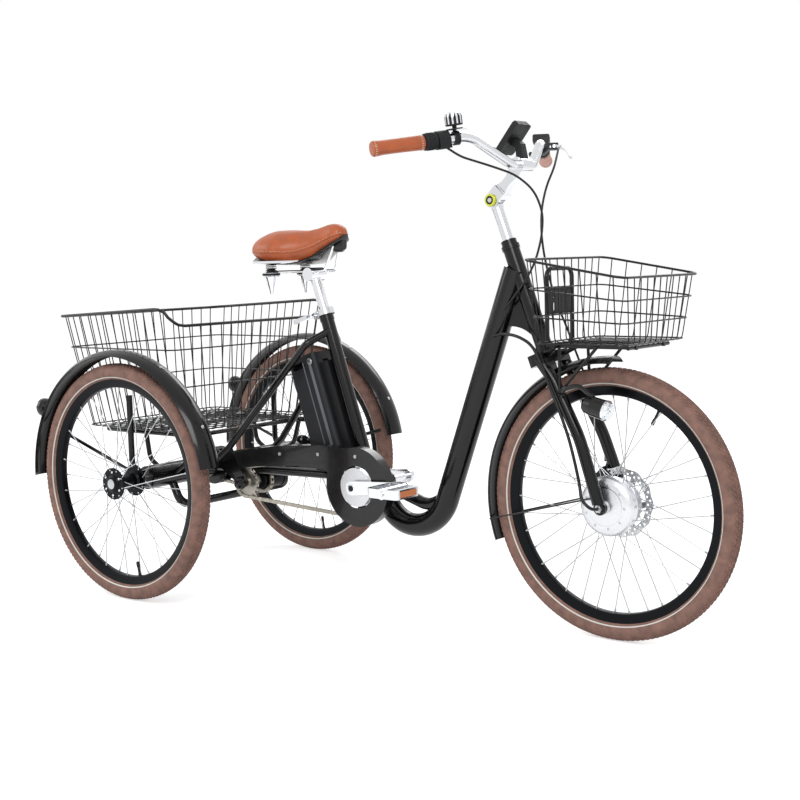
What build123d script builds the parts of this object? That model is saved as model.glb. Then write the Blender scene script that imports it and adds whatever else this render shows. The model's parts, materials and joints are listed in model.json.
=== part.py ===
from build123d import *
import os
from math import asin, atan2, cos, hypot, pi, radians, sin, tan

# Adult electric tricycle: one steered front wheel with a hub motor, two rear wheels on a
# straight axle beam, a step-through frame, a jackshaft gear hub and two wire baskets.
# Millimetres, +X forward, +Y to the rider's left, +Z up. The origin is on the floor in the
# middle of the length and of the width.

# ---------------------------------------------------------------- driving dimensions
wheelbase = 1205
rear_track = 700
rear_reach = 335            # rear axle back to the edge of the rear mudguards
tyre_diameter = 601
tyre_width = 47
rim_inner_radius = 239.5
rim_edge_radius = 258
rim_well_radius = 252.6
spoke_count = 36
spoke_diameter = 2
head_angle = 69
fork_offset = 38
fork_leg_diameter = 27
fork_half_spread = 46       # leg axis to the wheel plane at the crown
hub_width = 104             # between the faces of the fork ends
head_tube_low = 382         # along the steering axis from beside the front axle
head_tube_length = 230
head_tube_diameter = 38
cup_height = 10
steerer_diameter = 28.6
quill_diameter = 25.4
stem_pivot_along = 732
main_tube_diameter = 56
brace_diameter = 30
crank_ahead = 551           # crank axle ahead of the rear axle
crank_height = 296
crank_length = 170
spindle_diameter = 17
ring_teeth = 38
driver_teeth = 19
output_teeth = 16
axle_teeth = 18
chain_pitch = 12.7
chain_line = 84             # drive chain plane to the right of the centre plane
axle_chain_line = 26
gear_hub_ahead = 168
gear_hub_height = 276
seat_angle = 71.5
seat_tube_behind = 27.5     # seat tube axis behind the crank axle, at crank height
seat_tube_length = 445
seat_tube_diameter = 34
seat_post_diameter = 27.2
seat_post_top = 548
beam_diameter = 60
beam_bore = 49
beam_half_length = 278
axle_diameter = 17
stay_diameter = 18
chainstay_diameter = 22
chainstay_side = 55
seat_stay_side = 62
battery_low = 85
battery_high = 352
battery_depth = 95
battery_width = 80
dock_depth = 25
guard_outer_face = 94.5
guard_inner_face = 67.5
guard_radius = 97
guard_wall = 2
rear_basket_floor = 413
rear_basket_height = 329    # from its floor to the front corners of its rim
rear_rim_rise = 24          # front corners of the rim above its rear corners
rear_rim_dip = 46
rear_basket_wall = 4
front_basket_floor = 654
front_basket_height = 186
front_basket_wall = 3
rack_tube = 14
fender_wall = 1.6
rear_fender_radius = 335
rear_fender_width = 64
front_fender_radius = 325
front_fender_width = 58
bar_diameter = 22.2
bar_clamp_diameter = 25.4
grip_length = 115
grip_diameter = 33
lever_pivot_forward = 30
cable_diameter = 5
motor_cable_diameter = 7
fit_gap = 0.1               # radial room of a shaft in its bore
clear_gap = 0.3             # room between curved faces that turn past each other

# ---------------------------------------------------------------- derived frame
axle_height = tyre_diameter / 2
rear_axle_x = -(wheelbase + tyre_diameter / 2 - rear_reach) / 2
front_axle_x = rear_axle_x + wheelbase
crank_centre = Vector(rear_axle_x + crank_ahead, 0, crank_height)
gear_hub_centre = Vector(rear_axle_x + gear_hub_ahead, 0, gear_hub_height)
rear_axle_centre = Vector(rear_axle_x, 0, axle_height)
front_axle_centre = Vector(front_axle_x, 0, axle_height)
steer_up = Vector(-cos(radians(head_angle)), 0, sin(radians(head_angle)))
steer_ahead = Vector(sin(radians(head_angle)), 0, cos(radians(head_angle)))
steer_foot = front_axle_centre - steer_ahead * fork_offset
seat_up = Vector(-cos(radians(seat_angle)), 0, sin(radians(seat_angle)))
seat_ahead = Vector(sin(radians(seat_angle)), 0, cos(radians(seat_angle)))
seat_foot = Vector(crank_centre.X - seat_tube_behind, 0, crank_height)
head_tube_high = head_tube_low + head_tube_length
lock_nut_height = 12
steerer_top = head_tube_high + cup_height + lock_nut_height
tyre_half_height = 22
tyre_centre_radius = tyre_diameter / 2 - tyre_half_height


def rear(x, y, z):
    """A point measured forward of the rear axle, to the left and up from the floor."""
    return Vector(rear_axle_x + x, y, z)


def front(x, y, z):
    """A point measured forward of the front axle, to the left and up from the floor."""
    return Vector(front_axle_x + x, y, z)


def steer(along, ahead=0, side=0):
    """A point by its height along the steering axis, ahead of it and to the left."""
    return steer_foot + steer_up * along + steer_ahead * ahead + Vector(0, side, 0)


def seat(along, ahead=0, side=0):
    """A point by its height along the seat tube, ahead of its axis and to the left."""
    return seat_foot + seat_up * along + seat_ahead * ahead + Vector(0, side, 0)


def steer_plane(along):
    """A plane square to the steering axis."""
    return Plane(origin=steer(along), x_dir=steer_ahead, z_dir=steer_up)


def seat_plane(along):
    """A plane square to the seat tube."""
    return Plane(origin=seat(along), x_dir=seat_ahead, z_dir=seat_up)


def lateral(centre):
    """A plane whose normal points to the left, for pieces turned about an axle."""
    return Plane(origin=centre, x_dir=(1, 0, 0), z_dir=(0, 1, 0))


def side_view(y):
    """The upright plane at y, drawn in X and Z and extruded to the right."""
    return Plane.XZ.offset(-y)


def turned(base, outline, mode=Mode.ADD):
    """Revolve an outline of (radius, height) corners about a plane's normal."""
    profile = Plane(origin=base.origin, x_dir=base.x_dir, z_dir=base.y_dir * -1)
    with BuildSketch(profile) as section:
        with BuildLine():
            Polyline(*outline, close=True)
        make_face()
    revolve(section.sketch, axis=Axis(base.origin, base.z_dir), mode=mode)


def ring(base, outer, inner, low, high, mode=Mode.ADD):
    """A plain ring or tube between two heights over a plane."""
    turned(base, [(inner, low), (outer, low), (outer, high), (inner, high)], mode)


def disc(base, radius, low, high, mode=Mode.ADD):
    """A plain cylinder between two heights over a plane."""
    ring(base, radius, 0, low, high, mode)


def straight_bar(start, end, diameter, mode=Mode.ADD):
    """A straight round bar between two points."""
    run = end - start
    with BuildSketch(Plane(origin=start, z_dir=run)) as section:
        Circle(diameter / 2)
    extrude(section.sketch, amount=run.length, mode=mode)


def bent_bar(points, bends, diameter, mode=Mode.ADD):
    """A round bar of straight runs joined by tangent arcs."""
    with BuildLine():
        path = FilletPolyline(*points, radius=bends)
    with BuildSketch(Plane(origin=path @ 0, z_dir=path % 0)) as section:
        Circle(diameter / 2)
    sweep(section.sketch, path=path, mode=mode)


def mirrored_points(points):
    """The same points on the other side of the centre plane."""
    return [Vector(p.X, -p.Y, p.Z) for p in points]


def both_sides(points, bends, diameter):
    """The same bent bar on the left and on the right."""
    bent_bar(points, bends, diameter)
    bent_bar(mirrored_points(points), bends, diameter)


def soft_bends(points):
    """Arc radii of a cable, as large as its shorter run at each corner allows."""
    radii = []
    for before, corner, after in zip(points, points[1:], points[2:]):
        turn = (corner - before).get_angle(after - corner)
        shorter = min((corner - before).length, (after - corner).length)
        radii.append(0.45 * shorter / tan(radians(turn / 2)))
    return radii


def pitch_radius(teeth):
    """Radius of the circle through the chain's rollers on a sprocket."""
    return chain_pitch / 2 / sin(pi / teeth)


def toothed_disc(centre, teeth, bore_radius):
    """A sprocket plate in the chain's plane with a seat for each roller."""
    tooth_rise = 3
    roller_seat = 4.1
    plate = 2.3
    with BuildSketch(side_view(centre.Y + plate / 2)) as section:
        with Locations((centre.X, centre.Z)):
            Circle(pitch_radius(teeth) + tooth_rise)
            Circle(bore_radius, mode=Mode.SUBTRACT)
            with PolarLocations(pitch_radius(teeth), teeth):
                Circle(roller_seat, mode=Mode.SUBTRACT)
    extrude(section.sketch, amount=plate)


def chain_loop(back, ahead, back_teeth, ahead_teeth, y):
    """Two rows of link plates round two sprockets, joined by the pins of the straight runs."""
    half_height = 4
    inner_face = 2.7
    plate = 1.2
    back_radius = pitch_radius(back_teeth)
    ahead_radius = pitch_radius(ahead_teeth)
    wheels = [((back.X, back.Z), back_radius), ((ahead.X, ahead.Z), ahead_radius)]
    for row_face in (y + inner_face + plate, y - inner_face):
        with BuildSketch(side_view(row_face)) as row:
            for place, radius in wheels:
                with Locations(place):
                    Circle(radius + half_height)
            make_hull()
            with BuildSketch(mode=Mode.SUBTRACT):
                for place, radius in wheels:
                    with Locations(place):
                        Circle(radius - half_height)
                make_hull()
        extrude(row.sketch, amount=plate)
    span = hypot(ahead.X - back.X, ahead.Z - back.Z)
    rise = atan2(ahead.Z - back.Z, ahead.X - back.X)
    spread = asin((ahead_radius - back_radius) / span)
    run_length = span * cos(spread)
    end_margin = 23
    pin_count = int((run_length - 2 * end_margin) / chain_pitch)
    pins = []
    for turn, line in ((pi / 2 + spread, rise + spread), (-pi / 2 - spread, rise - spread)):
        start_x = back.X + back_radius * cos(rise + turn)
        start_z = back.Z + back_radius * sin(rise + turn)
        for index in range(pin_count):
            step = end_margin + index * chain_pitch
            pins.append((start_x + step * cos(line), start_z + step * sin(line)))
    with BuildSketch(side_view(y + inner_face + plate)) as pin_ends:
        with Locations(*pins):
            Circle(2)
    extrude(pin_ends.sketch, amount=2 * (inner_face + plate))


def mudguard(centre, radius, width, start, end):
    """A curved mudguard about an axle, between two angles over the forward direction."""
    edge_drop = 14
    out = Vector(cos(radians(start)), 0, sin(radians(start)))
    with BuildSketch(Plane(origin=centre, x_dir=out, z_dir=out.cross(Vector(0, 1, 0)))) as section:
        with BuildLine():
            outer = ThreePointArc(
                (radius - edge_drop, -width / 2), (radius, 0), (radius - edge_drop, width / 2)
            )
            inner = ThreePointArc(
                (radius - edge_drop - fender_wall, -width / 2),
                (radius - fender_wall, 0),
                (radius - edge_drop - fender_wall, width / 2),
            )
            Line(outer @ 0, inner @ 0)
            Line(outer @ 1, inner @ 1)
        make_face()
    revolve(section.sketch, axis=Axis(centre, (0, -1, 0)), revolution_arc=end - start)


def write(piece, name):
    """Label a finished piece and write it to its own file."""
    piece.label = name
    export_step(piece, f"parts/{name}.step")


os.makedirs("parts", exist_ok=True)

# ---------------------------------------------------------------- main frame
with BuildPart() as main_frame:
    disc(steer_plane(head_tube_low), head_tube_diameter / 2, 0, head_tube_length)
    bent_bar(
        [
            steer(head_tube_low + 186, -4),
            crank_centre + Vector(177, 0, -99),
            crank_centre + Vector(49, 0, -96),
            crank_centre + Vector(2, 0, -14),
        ],
        [108, 90],
        main_tube_diameter,
    )
    bent_bar(
        [front(-446, 0, 279), front(-505, 0, 250), crank_centre + Vector(14, 0, -4)],
        [60],
        brace_diameter,
    )
    # gusset plate in the crotch of the head tube and the main tube, arched underneath
    gusset_plate = 16
    with BuildSketch(side_view(gusset_plate / 2)) as gusset:
        corners = [steer(head_tube_low + 180), steer(head_tube_low + 2, -8), front(-328, 0, 604)]
        with BuildLine():
            Polyline(*[(corner.X, corner.Z) for corner in corners], close=True)
        make_face()
        with Locations((front_axle_x - 252, 604)):
            Circle(82, mode=Mode.SUBTRACT)
    extrude(gusset.sketch, amount=gusset_plate)
    bracket_shell = 20
    shell_half_length = 34
    shell_bore = 17
    disc(lateral(crank_centre), bracket_shell, -shell_half_length, shell_half_length)
    disc(
        steer_plane(head_tube_low),
        steerer_diameter / 2 + 2,
        -main_tube_diameter,
        head_tube_length + main_tube_diameter,
        Mode.SUBTRACT,
    )
    disc(lateral(crank_centre), shell_bore, -main_tube_diameter, main_tube_diameter, Mode.SUBTRACT)
write(main_frame.part, "main_frame")

# ---------------------------------------------------------------- seat tube
with BuildPart() as seat_tube:
    disc(seat_plane(0), seat_tube_diameter / 2, -12, seat_tube_length)
    lug_height = 26
    disc(seat_plane(seat_tube_length), seat_tube_diameter / 2 + 1.5, -lug_height, -lug_height / 2)
    disc(
        seat_plane(0), seat_post_diameter / 2 + fit_gap, 30, seat_tube_length, Mode.SUBTRACT
    )
    add(main_frame.part, mode=Mode.SUBTRACT)
    disc(lateral(crank_centre), shell_bore, -main_tube_diameter, main_tube_diameter, Mode.SUBTRACT)
write(seat_tube.part, "seat_tube")

# ---------------------------------------------------------------- axle beam
# A tube round the rear axle with a drum in the middle that is open ahead for the axle chain.
drum_radius = 50
drum_wall = 3
drum_half_width = 18
drum_plane = lateral(rear_axle_centre - Vector(0, axle_chain_line, 0))
with BuildPart() as axle_beam:
    disc(lateral(rear_axle_centre), beam_diameter / 2, -beam_half_length, beam_half_length)
    disc(drum_plane, drum_radius, -drum_half_width, drum_half_width)
    disc(
        lateral(rear_axle_centre), beam_bore / 2, -beam_half_length, beam_half_length,
        Mode.SUBTRACT,
    )
    drum_inside = drum_half_width - drum_wall
    disc(drum_plane, drum_radius - drum_wall, -drum_inside, drum_inside, Mode.SUBTRACT)
    with BuildSketch(side_view(-axle_chain_line + drum_inside)) as drum_window:
        with Locations((rear_axle_x + drum_radius, axle_height)):
            Rectangle(drum_radius * 1.5, 2 * (drum_radius - drum_wall) - 2)
    extrude(drum_window.sketch, amount=2 * drum_inside, mode=Mode.SUBTRACT)
write(axle_beam.part, "axle_beam")

# ---------------------------------------------------------------- rear stays
dropout_plate = 5
left_dropout_side = chainstay_side + 2
right_dropout_side = 98
hub_axle_diameter = 10
with BuildPart() as rear_stays:
    wall_point = (beam_diameter + beam_bore) / 4
    both_sides(
        [
            crank_centre + Vector(-10, 28, 4),
            rear(440, chainstay_side, 312),
            rear(wall_point, chainstay_side, axle_height + 2),
        ],
        [120],
        chainstay_diameter,
    )
    both_sides(
        [
            seat(392, 4, 6),
            seat(372, -38, seat_stay_side),
            rear(122, 100, 364),
            rear(62, 104, 318),
            rear(wall_point, 105, axle_height + 6),
        ],
        [24, 60, 60],
        stay_diameter,
    )
    for plate_side, root in (
        (-right_dropout_side, [(84, 318), (124, 366)]),
        (left_dropout_side, [(120, 300), (136, 312)]),
    ):
        with BuildSketch(side_view(plate_side + dropout_plate / 2)) as plate:
            with Locations((gear_hub_centre.X, gear_hub_centre.Z)):
                Circle(13)
            with Locations(*[(rear_axle_x + x, z) for x, z in root]):
                Circle(5)
            make_hull()
            with Locations((gear_hub_centre.X, gear_hub_centre.Z)):
                Circle(hub_axle_diameter / 2, mode=Mode.SUBTRACT)
        extrude(plate.sketch, amount=dropout_plate)
    add(main_frame.part, mode=Mode.SUBTRACT)
    add(seat_tube.part, mode=Mode.SUBTRACT)
    add(axle_beam.part, mode=Mode.SUBTRACT)
    disc(seat_plane(0), seat_tube_diameter / 2, 0, seat_tube_length, Mode.SUBTRACT)
    disc(lateral(crank_centre), bracket_shell, -60, 60, Mode.SUBTRACT)
write(rear_stays.part, "rear_stays")

# ---------------------------------------------------------------- rack frame
# Platform, posts and arches over the beam, and the guard loop under it.
rack_side = 200
post_side = 268
post_radius = 8
platform_height = rear_basket_floor - rack_tube / 2
with BuildPart() as rack_frame:
    for side in (-1, 1):
        bent_bar(
            [
                rear(-wall_point, side * rack_side, axle_height + 8),
                rear(-72, side * rack_side, 335),
                rear(-84, side * rack_side, platform_height),
            ],
            [34],
            rack_tube - 1,
        )
        bent_bar(
            [
                rear(wall_point, side * rack_side, axle_height + 8),
                rear(74, side * rack_side, 340),
                rear(96, side * rack_side, platform_height),
            ],
            [34],
            rack_tube - 1,
        )
        bent_bar(
            [
                rear(-wall_point, side * post_side, axle_height + 6),
                rear(-65, side * post_side, axle_height + 24),
                rear(-65, side * post_side, 510),
            ],
            [24],
            2 * post_radius,
        )
        straight_bar(
            rear(-235, side * rack_side, platform_height),
            rear(115, side * rack_side, platform_height),
            rack_tube,
        )
        # flat stay to the back of the rear mudguard and bracket to its front end
        straight_bar(
            rear(-30, side * 292, 312), rear(-292, side * 300, 401), 9
        )
        straight_bar(rear(-30, side * 275, 312), rear(-30, side * 297, 312), 9)
        bent_bar(
            [
                rear(wall_point, side * 150, axle_height + 6),
                rear(110, side * 215, 318),
                rear(297, side * 312, 374),
            ],
            [60],
            10,
        )
    for cross_x in (-190, -84, 96):
        straight_bar(
            rear(cross_x, -rack_side, platform_height),
            rear(cross_x, rack_side, platform_height),
            rack_tube - 2,
        )
    bent_bar(
        [
            rear(14, -rack_side, axle_height - 26),
            rear(42, -rack_side, 221),
            rear(42, rack_side, 221),
            rear(14, rack_side, axle_height - 26),
        ],
        [28, 28],
        22,
    )
    add(axle_beam.part, mode=Mode.SUBTRACT)
    disc(lateral(rear_axle_centre), beam_bore / 2, -beam_half_length, beam_half_length,
         Mode.SUBTRACT)
write(rack_frame.part, "rack_frame")

# ---------------------------------------------------------------- bearings and gear hub axle
bearing_width = 12
cup_radius = head_tube_diameter / 2 + 2
cup_bore = steerer_diameter / 2 + clear_gap
axle_gap = axle_diameter / 2 + fit_gap
hub_axle_left = left_dropout_side + 14
hub_axle_right = right_dropout_side + 6
with BuildPart() as bearings:
    for low in (head_tube_low - cup_height, head_tube_high):
        ring(steer_plane(low), cup_radius, cup_bore, 0, cup_height)
    for low in (-shell_half_length - 3, shell_half_length - 9):
        ring(lateral(crank_centre), shell_bore, spindle_diameter / 2 + fit_gap, low, low + 12)
    for centre_y in (-beam_half_length + 8, -62, 62, beam_half_length - 8):
        ring(
            lateral(rear_axle_centre + Vector(0, centre_y, 0)),
            beam_bore / 2, axle_gap, -bearing_width / 2, bearing_width / 2,
        )
    disc(lateral(gear_hub_centre), hub_axle_diameter / 2, -hub_axle_right, hub_axle_left)
    for low in (-right_dropout_side - dropout_plate / 2 - 6, left_dropout_side + 2.5):
        ring(lateral(gear_hub_centre), 9, hub_axle_diameter / 2, low, low + 6)
    turned(
        lateral(gear_hub_centre - Vector(0, right_dropout_side + dropout_plate / 2 + 6, 0)),
        [(0, 0), (17, 0), (17, -6), (14, -12), (8, -15), (0, -16)],
    )
write(bearings.part, "bearings")

# ---------------------------------------------------------------- battery dock
battery_front = -(seat_tube_diameter / 2 + dock_depth)
battery_back = battery_front - battery_depth
rib_depth = 8
rib_half_width = 10
with BuildPart() as battery_dock:
    with BuildSketch(seat_plane(battery_low - 20)):
        with Locations((battery_front + dock_depth / 2, 0)):
            Rectangle(dock_depth, 44)
        with Locations((battery_front - rib_depth / 2, 0)):
            Rectangle(rib_depth, 2 * rib_half_width)
    extrude(amount=battery_high - battery_low - 10)
    # foot plate that the battery stands on
    with BuildSketch(seat_plane(battery_low - 20)):
        with Locations(((battery_front + battery_back) / 2, 0)):
            Rectangle(battery_depth, battery_width - 6)
    extrude(amount=20)
    disc(seat_plane(0), seat_tube_diameter / 2, 0, seat_tube_length, Mode.SUBTRACT)
write(battery_dock.part, "battery_dock")

# ---------------------------------------------------------------- battery
with BuildPart() as battery:
    with BuildSketch(seat_plane(battery_low)):
        with Locations(((battery_front + battery_back) / 2, 0)):
            RectangleRounded(battery_depth, battery_width, 12)
    extrude(amount=battery_high - battery_low)
    with BuildSketch(seat_plane(battery_low)):
        with Locations((battery_front - rib_depth / 2, 0)):
            Rectangle(rib_depth + 2 * clear_gap, 2 * (rib_half_width + clear_gap))
    extrude(amount=battery_high - battery_low - 20, mode=Mode.SUBTRACT)
    # carrying handle slot across the top
    with BuildSketch(side_view(battery_width)) as handle_slot:
        slot_centre = seat(battery_high - 22, battery_front - battery_depth * 0.62)
        with Locations((slot_centre.X, slot_centre.Z)):
            SlotOverall(44, 16, rotation=90 - seat_angle)
    extrude(handle_slot.sketch, amount=2 * battery_width, mode=Mode.SUBTRACT)
write(battery.part, "battery")

# ---------------------------------------------------------------- seat clamp and its lever
clamp_height = 16
clamp_radius = seat_tube_diameter / 2 + 6
skewer_behind = -(clamp_radius + 5)
lever_side = -24
cam_radius = 9
lever_thickness = 10
tongue_thickness = 4
lever_pin_diameter = 3
with BuildPart() as seat_clamp:
    ring(seat_plane(seat_tube_length - 12), clamp_radius, seat_tube_diameter / 2, 0, 12)
    ring(
        seat_plane(seat_tube_length),
        clamp_radius, seat_post_diameter / 2 + fit_gap, 0, clamp_height - 12,
    )
    with BuildSketch(seat_plane(seat_tube_length - 12)):
        with Locations((skewer_behind + 2, 0)):
            Rectangle(16, 20)
        Circle(clamp_radius - 1, mode=Mode.SUBTRACT)
    extrude(amount=clamp_height)
    skewer = seat(seat_tube_length - 12 + clamp_height / 2, skewer_behind)
    disc(lateral(skewer), 3, lever_side + cam_radius + clear_gap, 16)
    disc(lateral(skewer), 7, 10, 15)
    # flat eye of the skewer, and the pin that the cam lever turns on
    pivot = skewer + Vector(0, lever_side, 0)
    lever_plane = Plane(origin=pivot, x_dir=seat_ahead, z_dir=seat_up)
    with BuildSketch(lever_plane.offset(-tongue_thickness / 2)):
        with Locations((0, cam_radius / 2)):
            SlotOverall(cam_radius + 8, 6, rotation=90)
    extrude(amount=tongue_thickness)
    disc(lever_plane, lever_pin_diameter / 2, -lever_thickness / 2, lever_thickness / 2)
write(seat_clamp.part, "seat_clamp")

with BuildPart() as seat_lever:
    with BuildSketch(lever_plane.offset(-lever_thickness / 2)):
        Circle(cam_radius)
        with Locations((-46, -10)):
            Circle(6)
        make_hull()
    extrude(amount=lever_thickness)
    eye_slot = tongue_thickness / 2 + clear_gap
    disc(lever_plane, cam_radius + 4, -eye_slot, eye_slot, Mode.SUBTRACT)
    pin_bore = lever_pin_diameter / 2 + fit_gap
    disc(lever_plane, pin_bore, -lever_thickness, lever_thickness, Mode.SUBTRACT)
write(seat_lever.part, "seat_lever")

# ---------------------------------------------------------------- chain guard
with BuildPart() as chain_guard:
    tail_top = [(121, 346), (157, 359), (286, 379), (430, 391), (520, 389)]
    tail_low = [(121, 317), (150, 310), (210, 321), (363, 334), (448, 330), (520, 300)]
    for inset, near, far in (
        (0, guard_inner_face, guard_outer_face),
        (guard_wall, guard_inner_face, guard_outer_face - guard_wall),
    ):
        cut = Mode.SUBTRACT if inset else Mode.ADD
        with BuildSketch(side_view(-near)) as outline:
            with BuildLine():
                top = Polyline(*[(rear_axle_x + x, z - inset) for x, z in tail_top])
                low = Polyline(*[(rear_axle_x + x, z + inset) for x, z in tail_low])
                Line(top @ 0, low @ 0)
                Line(top @ 1, low @ 1)
            make_face()
            with Locations((crank_centre.X, crank_centre.Z)):
                Circle(guard_radius - inset)
        extrude(outline.sketch, amount=far - near, mode=cut)
    # open underneath, where the lower run of the chain leaves
    with BuildSketch(side_view(-guard_inner_face)) as opening:
        with BuildLine():
            Polyline(
                *[(rear_axle_x + x, z) for x, z in
                  [(100, 325), (150, 322), (363, 344), (448, 340), (480, 320), (500, 190),
                   (100, 190)]],
                close=True,
            )
        make_face()
    extrude(
        opening.sketch, amount=guard_outer_face - guard_wall - guard_inner_face,
        mode=Mode.SUBTRACT,
    )
    with BuildSketch(side_view(-guard_inner_face)) as crank_window:
        with Locations((crank_centre.X, crank_centre.Z)):
            Circle(52)
    extrude(crank_window.sketch, amount=guard_outer_face, mode=Mode.SUBTRACT)
write(chain_guard.part, "chain_guard")

# ---------------------------------------------------------------- chains and sprockets
driver_centre = gear_hub_centre - Vector(0, chain_line, 0)
ring_centre = crank_centre - Vector(0, chain_line, 0)
output_centre = gear_hub_centre - Vector(0, axle_chain_line, 0)
axle_sprocket_centre = rear_axle_centre - Vector(0, axle_chain_line, 0)
with BuildPart() as drive_chain:
    chain_loop(driver_centre, ring_centre, driver_teeth, ring_teeth, -chain_line)
write(drive_chain.part, "drive_chain")

with BuildPart() as axle_chain:
    chain_loop(
        axle_sprocket_centre, output_centre, axle_teeth, output_teeth, -axle_chain_line
    )
write(axle_chain.part, "axle_chain")

with BuildPart() as axle_sprocket:
    toothed_disc(axle_sprocket_centre, axle_teeth, axle_diameter / 2)
    ring(lateral(axle_sprocket_centre), 16, axle_diameter / 2, -10, 10)
write(axle_sprocket.part, "axle_sprocket")

with BuildPart() as gear_hub:
    hub_bore = hub_axle_diameter / 2 + fit_gap
    turned(
        lateral(gear_hub_centre),
        [
            (hub_bore, -40), (24, -40), (26, -38), (26, 30), (28, 31), (28, 38), (22, 40),
            (hub_bore, 40),
        ],
    )
    toothed_disc(output_centre, output_teeth, 25)
write(gear_hub.part, "gear_hub")

with BuildPart() as hub_driver:
    ring(lateral(gear_hub_centre), 12, hub_bore, -chain_line - 6, -42)
    toothed_disc(driver_centre, driver_teeth, 11.5)
write(hub_driver.part, "hub_driver")

# ---------------------------------------------------------------- cranks and pedals
arm_face = 101
arm_thickness = 13
arm_rise = 5
pedal_reach = Vector(cos(radians(arm_rise)), 0, sin(radians(arm_rise))) * crank_length
with BuildPart() as chainring:
    toothed_disc(ring_centre, ring_teeth, 62)
    cover_radius = 47.5
    cover_plane = lateral(ring_centre)
    ring(cover_plane, cover_radius, spindle_diameter / 2 + fit_gap, -13.5, -1.5)
    with BuildSketch(side_view(-chain_line)) as spider:
        with Locations((crank_centre.X, crank_centre.Z)):
            with PolarLocations(52, 5, start_angle=18):
                Rectangle(30, 14)
    extrude(spider.sketch, amount=3.5)
    disc(cover_plane, spindle_diameter / 2 + fit_gap, -20, 20, Mode.SUBTRACT)
write(chainring.part, "chainring")

with BuildPart() as crank_arms:
    disc(lateral(crank_centre), spindle_diameter / 2, -arm_face - 2, arm_face + 2)
    for side, reach in ((-1, pedal_reach), (1, pedal_reach * -1)):
        eye = crank_centre + reach
        near_face = side_view(side * arm_face if side < 0 else arm_face + arm_thickness)
        with BuildSketch(near_face) as arm:
            with Locations((crank_centre.X, crank_centre.Z)):
                Circle(17)
            with Locations((eye.X, eye.Z)):
                Circle(13)
            make_hull()
        extrude(arm.sketch, amount=arm_thickness)
        spindle_tip = side * (arm_face + arm_thickness + 96)
        low, high = sorted((side * (arm_face + 2), spindle_tip))
        disc(lateral(Vector(eye.X, 0, eye.Z)), 6, low, high)
write(crank_arms.part, "crank_arms")

pedal_inner = arm_face + arm_thickness + 6
pedal_width = 86
for side, side_name in ((-1, "right"), (1, "left")):
    eye = crank_centre + pedal_reach * -side
    with BuildPart() as pedal:
        pedal_plane = lateral(Vector(eye.X, side * (pedal_inner + pedal_width / 2), eye.Z))
        disc(pedal_plane, 13, -pedal_width / 2, pedal_width / 2)
        with BuildSketch(Plane.XY.offset(eye.Z - 11)) as cage:
            with Locations((eye.X, side * (pedal_inner + pedal_width / 2))):
                RectangleRounded(92, pedal_width, 12)
                with Locations((-24, 0), (24, 0)):
                    RectangleRounded(26, pedal_width - 16, 5, mode=Mode.SUBTRACT)
        extrude(cage.sketch, amount=22)
        disc(
            pedal_plane, 6 + fit_gap, -pedal_width / 2, pedal_width / 2 + 20, Mode.SUBTRACT
        )
        disc(pedal_plane, 6 + fit_gap, -pedal_width, pedal_width / 2, Mode.SUBTRACT)
    write(pedal.part, f"pedal_{side_name}")

# ---------------------------------------------------------------- wheels
rim_outline = [
    (rim_inner_radius, -7), (rim_inner_radius, 7), (250, 11), (rim_edge_radius, 12.4),
    (rim_edge_radius, 10.4), (rim_well_radius, 10.2), (rim_well_radius, -10.2),
    (rim_edge_radius, -10.4),
    (rim_edge_radius, -12.4), (250, -11),
]


def rim_and_spokes(centre, flanges):
    """A rim laced to two flanges, each given by its side, radius and height of spoke start."""
    turned(lateral(centre), rim_outline)
    per_flange = spoke_count // 2
    lacing = 24
    for number, (flange_y, flange_radius) in enumerate(flanges):
        for index in range(per_flange):
            rim_angle = radians((index + number / 2) * 360 / per_flange)
            lean = lacing if index % 2 else -lacing
            hub_angle = rim_angle + radians(lean)
            start = centre + Vector(
                flange_radius * cos(hub_angle), flange_y, flange_radius * sin(hub_angle)
            )
            nipple_y = 4 if flange_y > 0 else -4
            reach = rim_inner_radius + 1
            end = centre + Vector(reach * cos(rim_angle), nipple_y, reach * sin(rim_angle))
            straight_bar(start, end, spoke_diameter)


def tyre(centre):
    """A round tyre whose beads sit between the rim's edges."""
    section_plane = Plane(origin=centre, x_dir=(0, 1, 0), z_dir=(1, 0, 0))
    with BuildSketch(section_plane) as section:
        with Locations((0, tyre_centre_radius)):
            Ellipse(tyre_width / 2, tyre_half_height)
        with Locations((0, rim_well_radius + 5)):
            Rectangle(19.6, 9.4)
    revolve(section.sketch, axis=Axis(centre, (0, 1, 0)))


motor_radius = 66
motor_left_radius = 57
with BuildPart() as front_tyre:
    tyre(front_axle_centre)
write(front_tyre.part, "front_tyre")

with BuildPart() as front_wheel:
    rim_and_spokes(
        front_axle_centre,
        [(-18, motor_radius + 1), (23, motor_left_radius + 1)],
    )
write(front_wheel.part, "front_wheel")

front_axle_radius = 6
with BuildPart() as hub_motor:
    motor_bore = front_axle_radius + fit_gap
    turned(
        lateral(front_axle_centre),
        [
            (motor_bore, -47), (13, -47), (15, -40), (40, -37), (58, -34), (62, -31),
            (motor_radius, -26), (motor_radius, -10), (52, -6), (50, 20),
            (motor_left_radius, 21), (motor_left_radius, 25), (24, 28), (22, 34),
            (motor_bore, 34),
        ],
    )
write(hub_motor.part, "hub_motor")

rotor_radius = 80
with BuildPart() as brake_rotor:
    with BuildSketch(side_view(36)) as rotor:
        with Locations((front_axle_centre.X, front_axle_centre.Z)):
            Circle(rotor_radius)
            Circle(motor_bore + 1, mode=Mode.SUBTRACT)
            with PolarLocations(48, 6):
                RectangleRounded(26, 22, 8, mode=Mode.SUBTRACT)
            with PolarLocations(72, 24):
                Circle(3.2, mode=Mode.SUBTRACT)
    extrude(rotor.sketch, amount=2)
write(brake_rotor.part, "brake_rotor")

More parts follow.
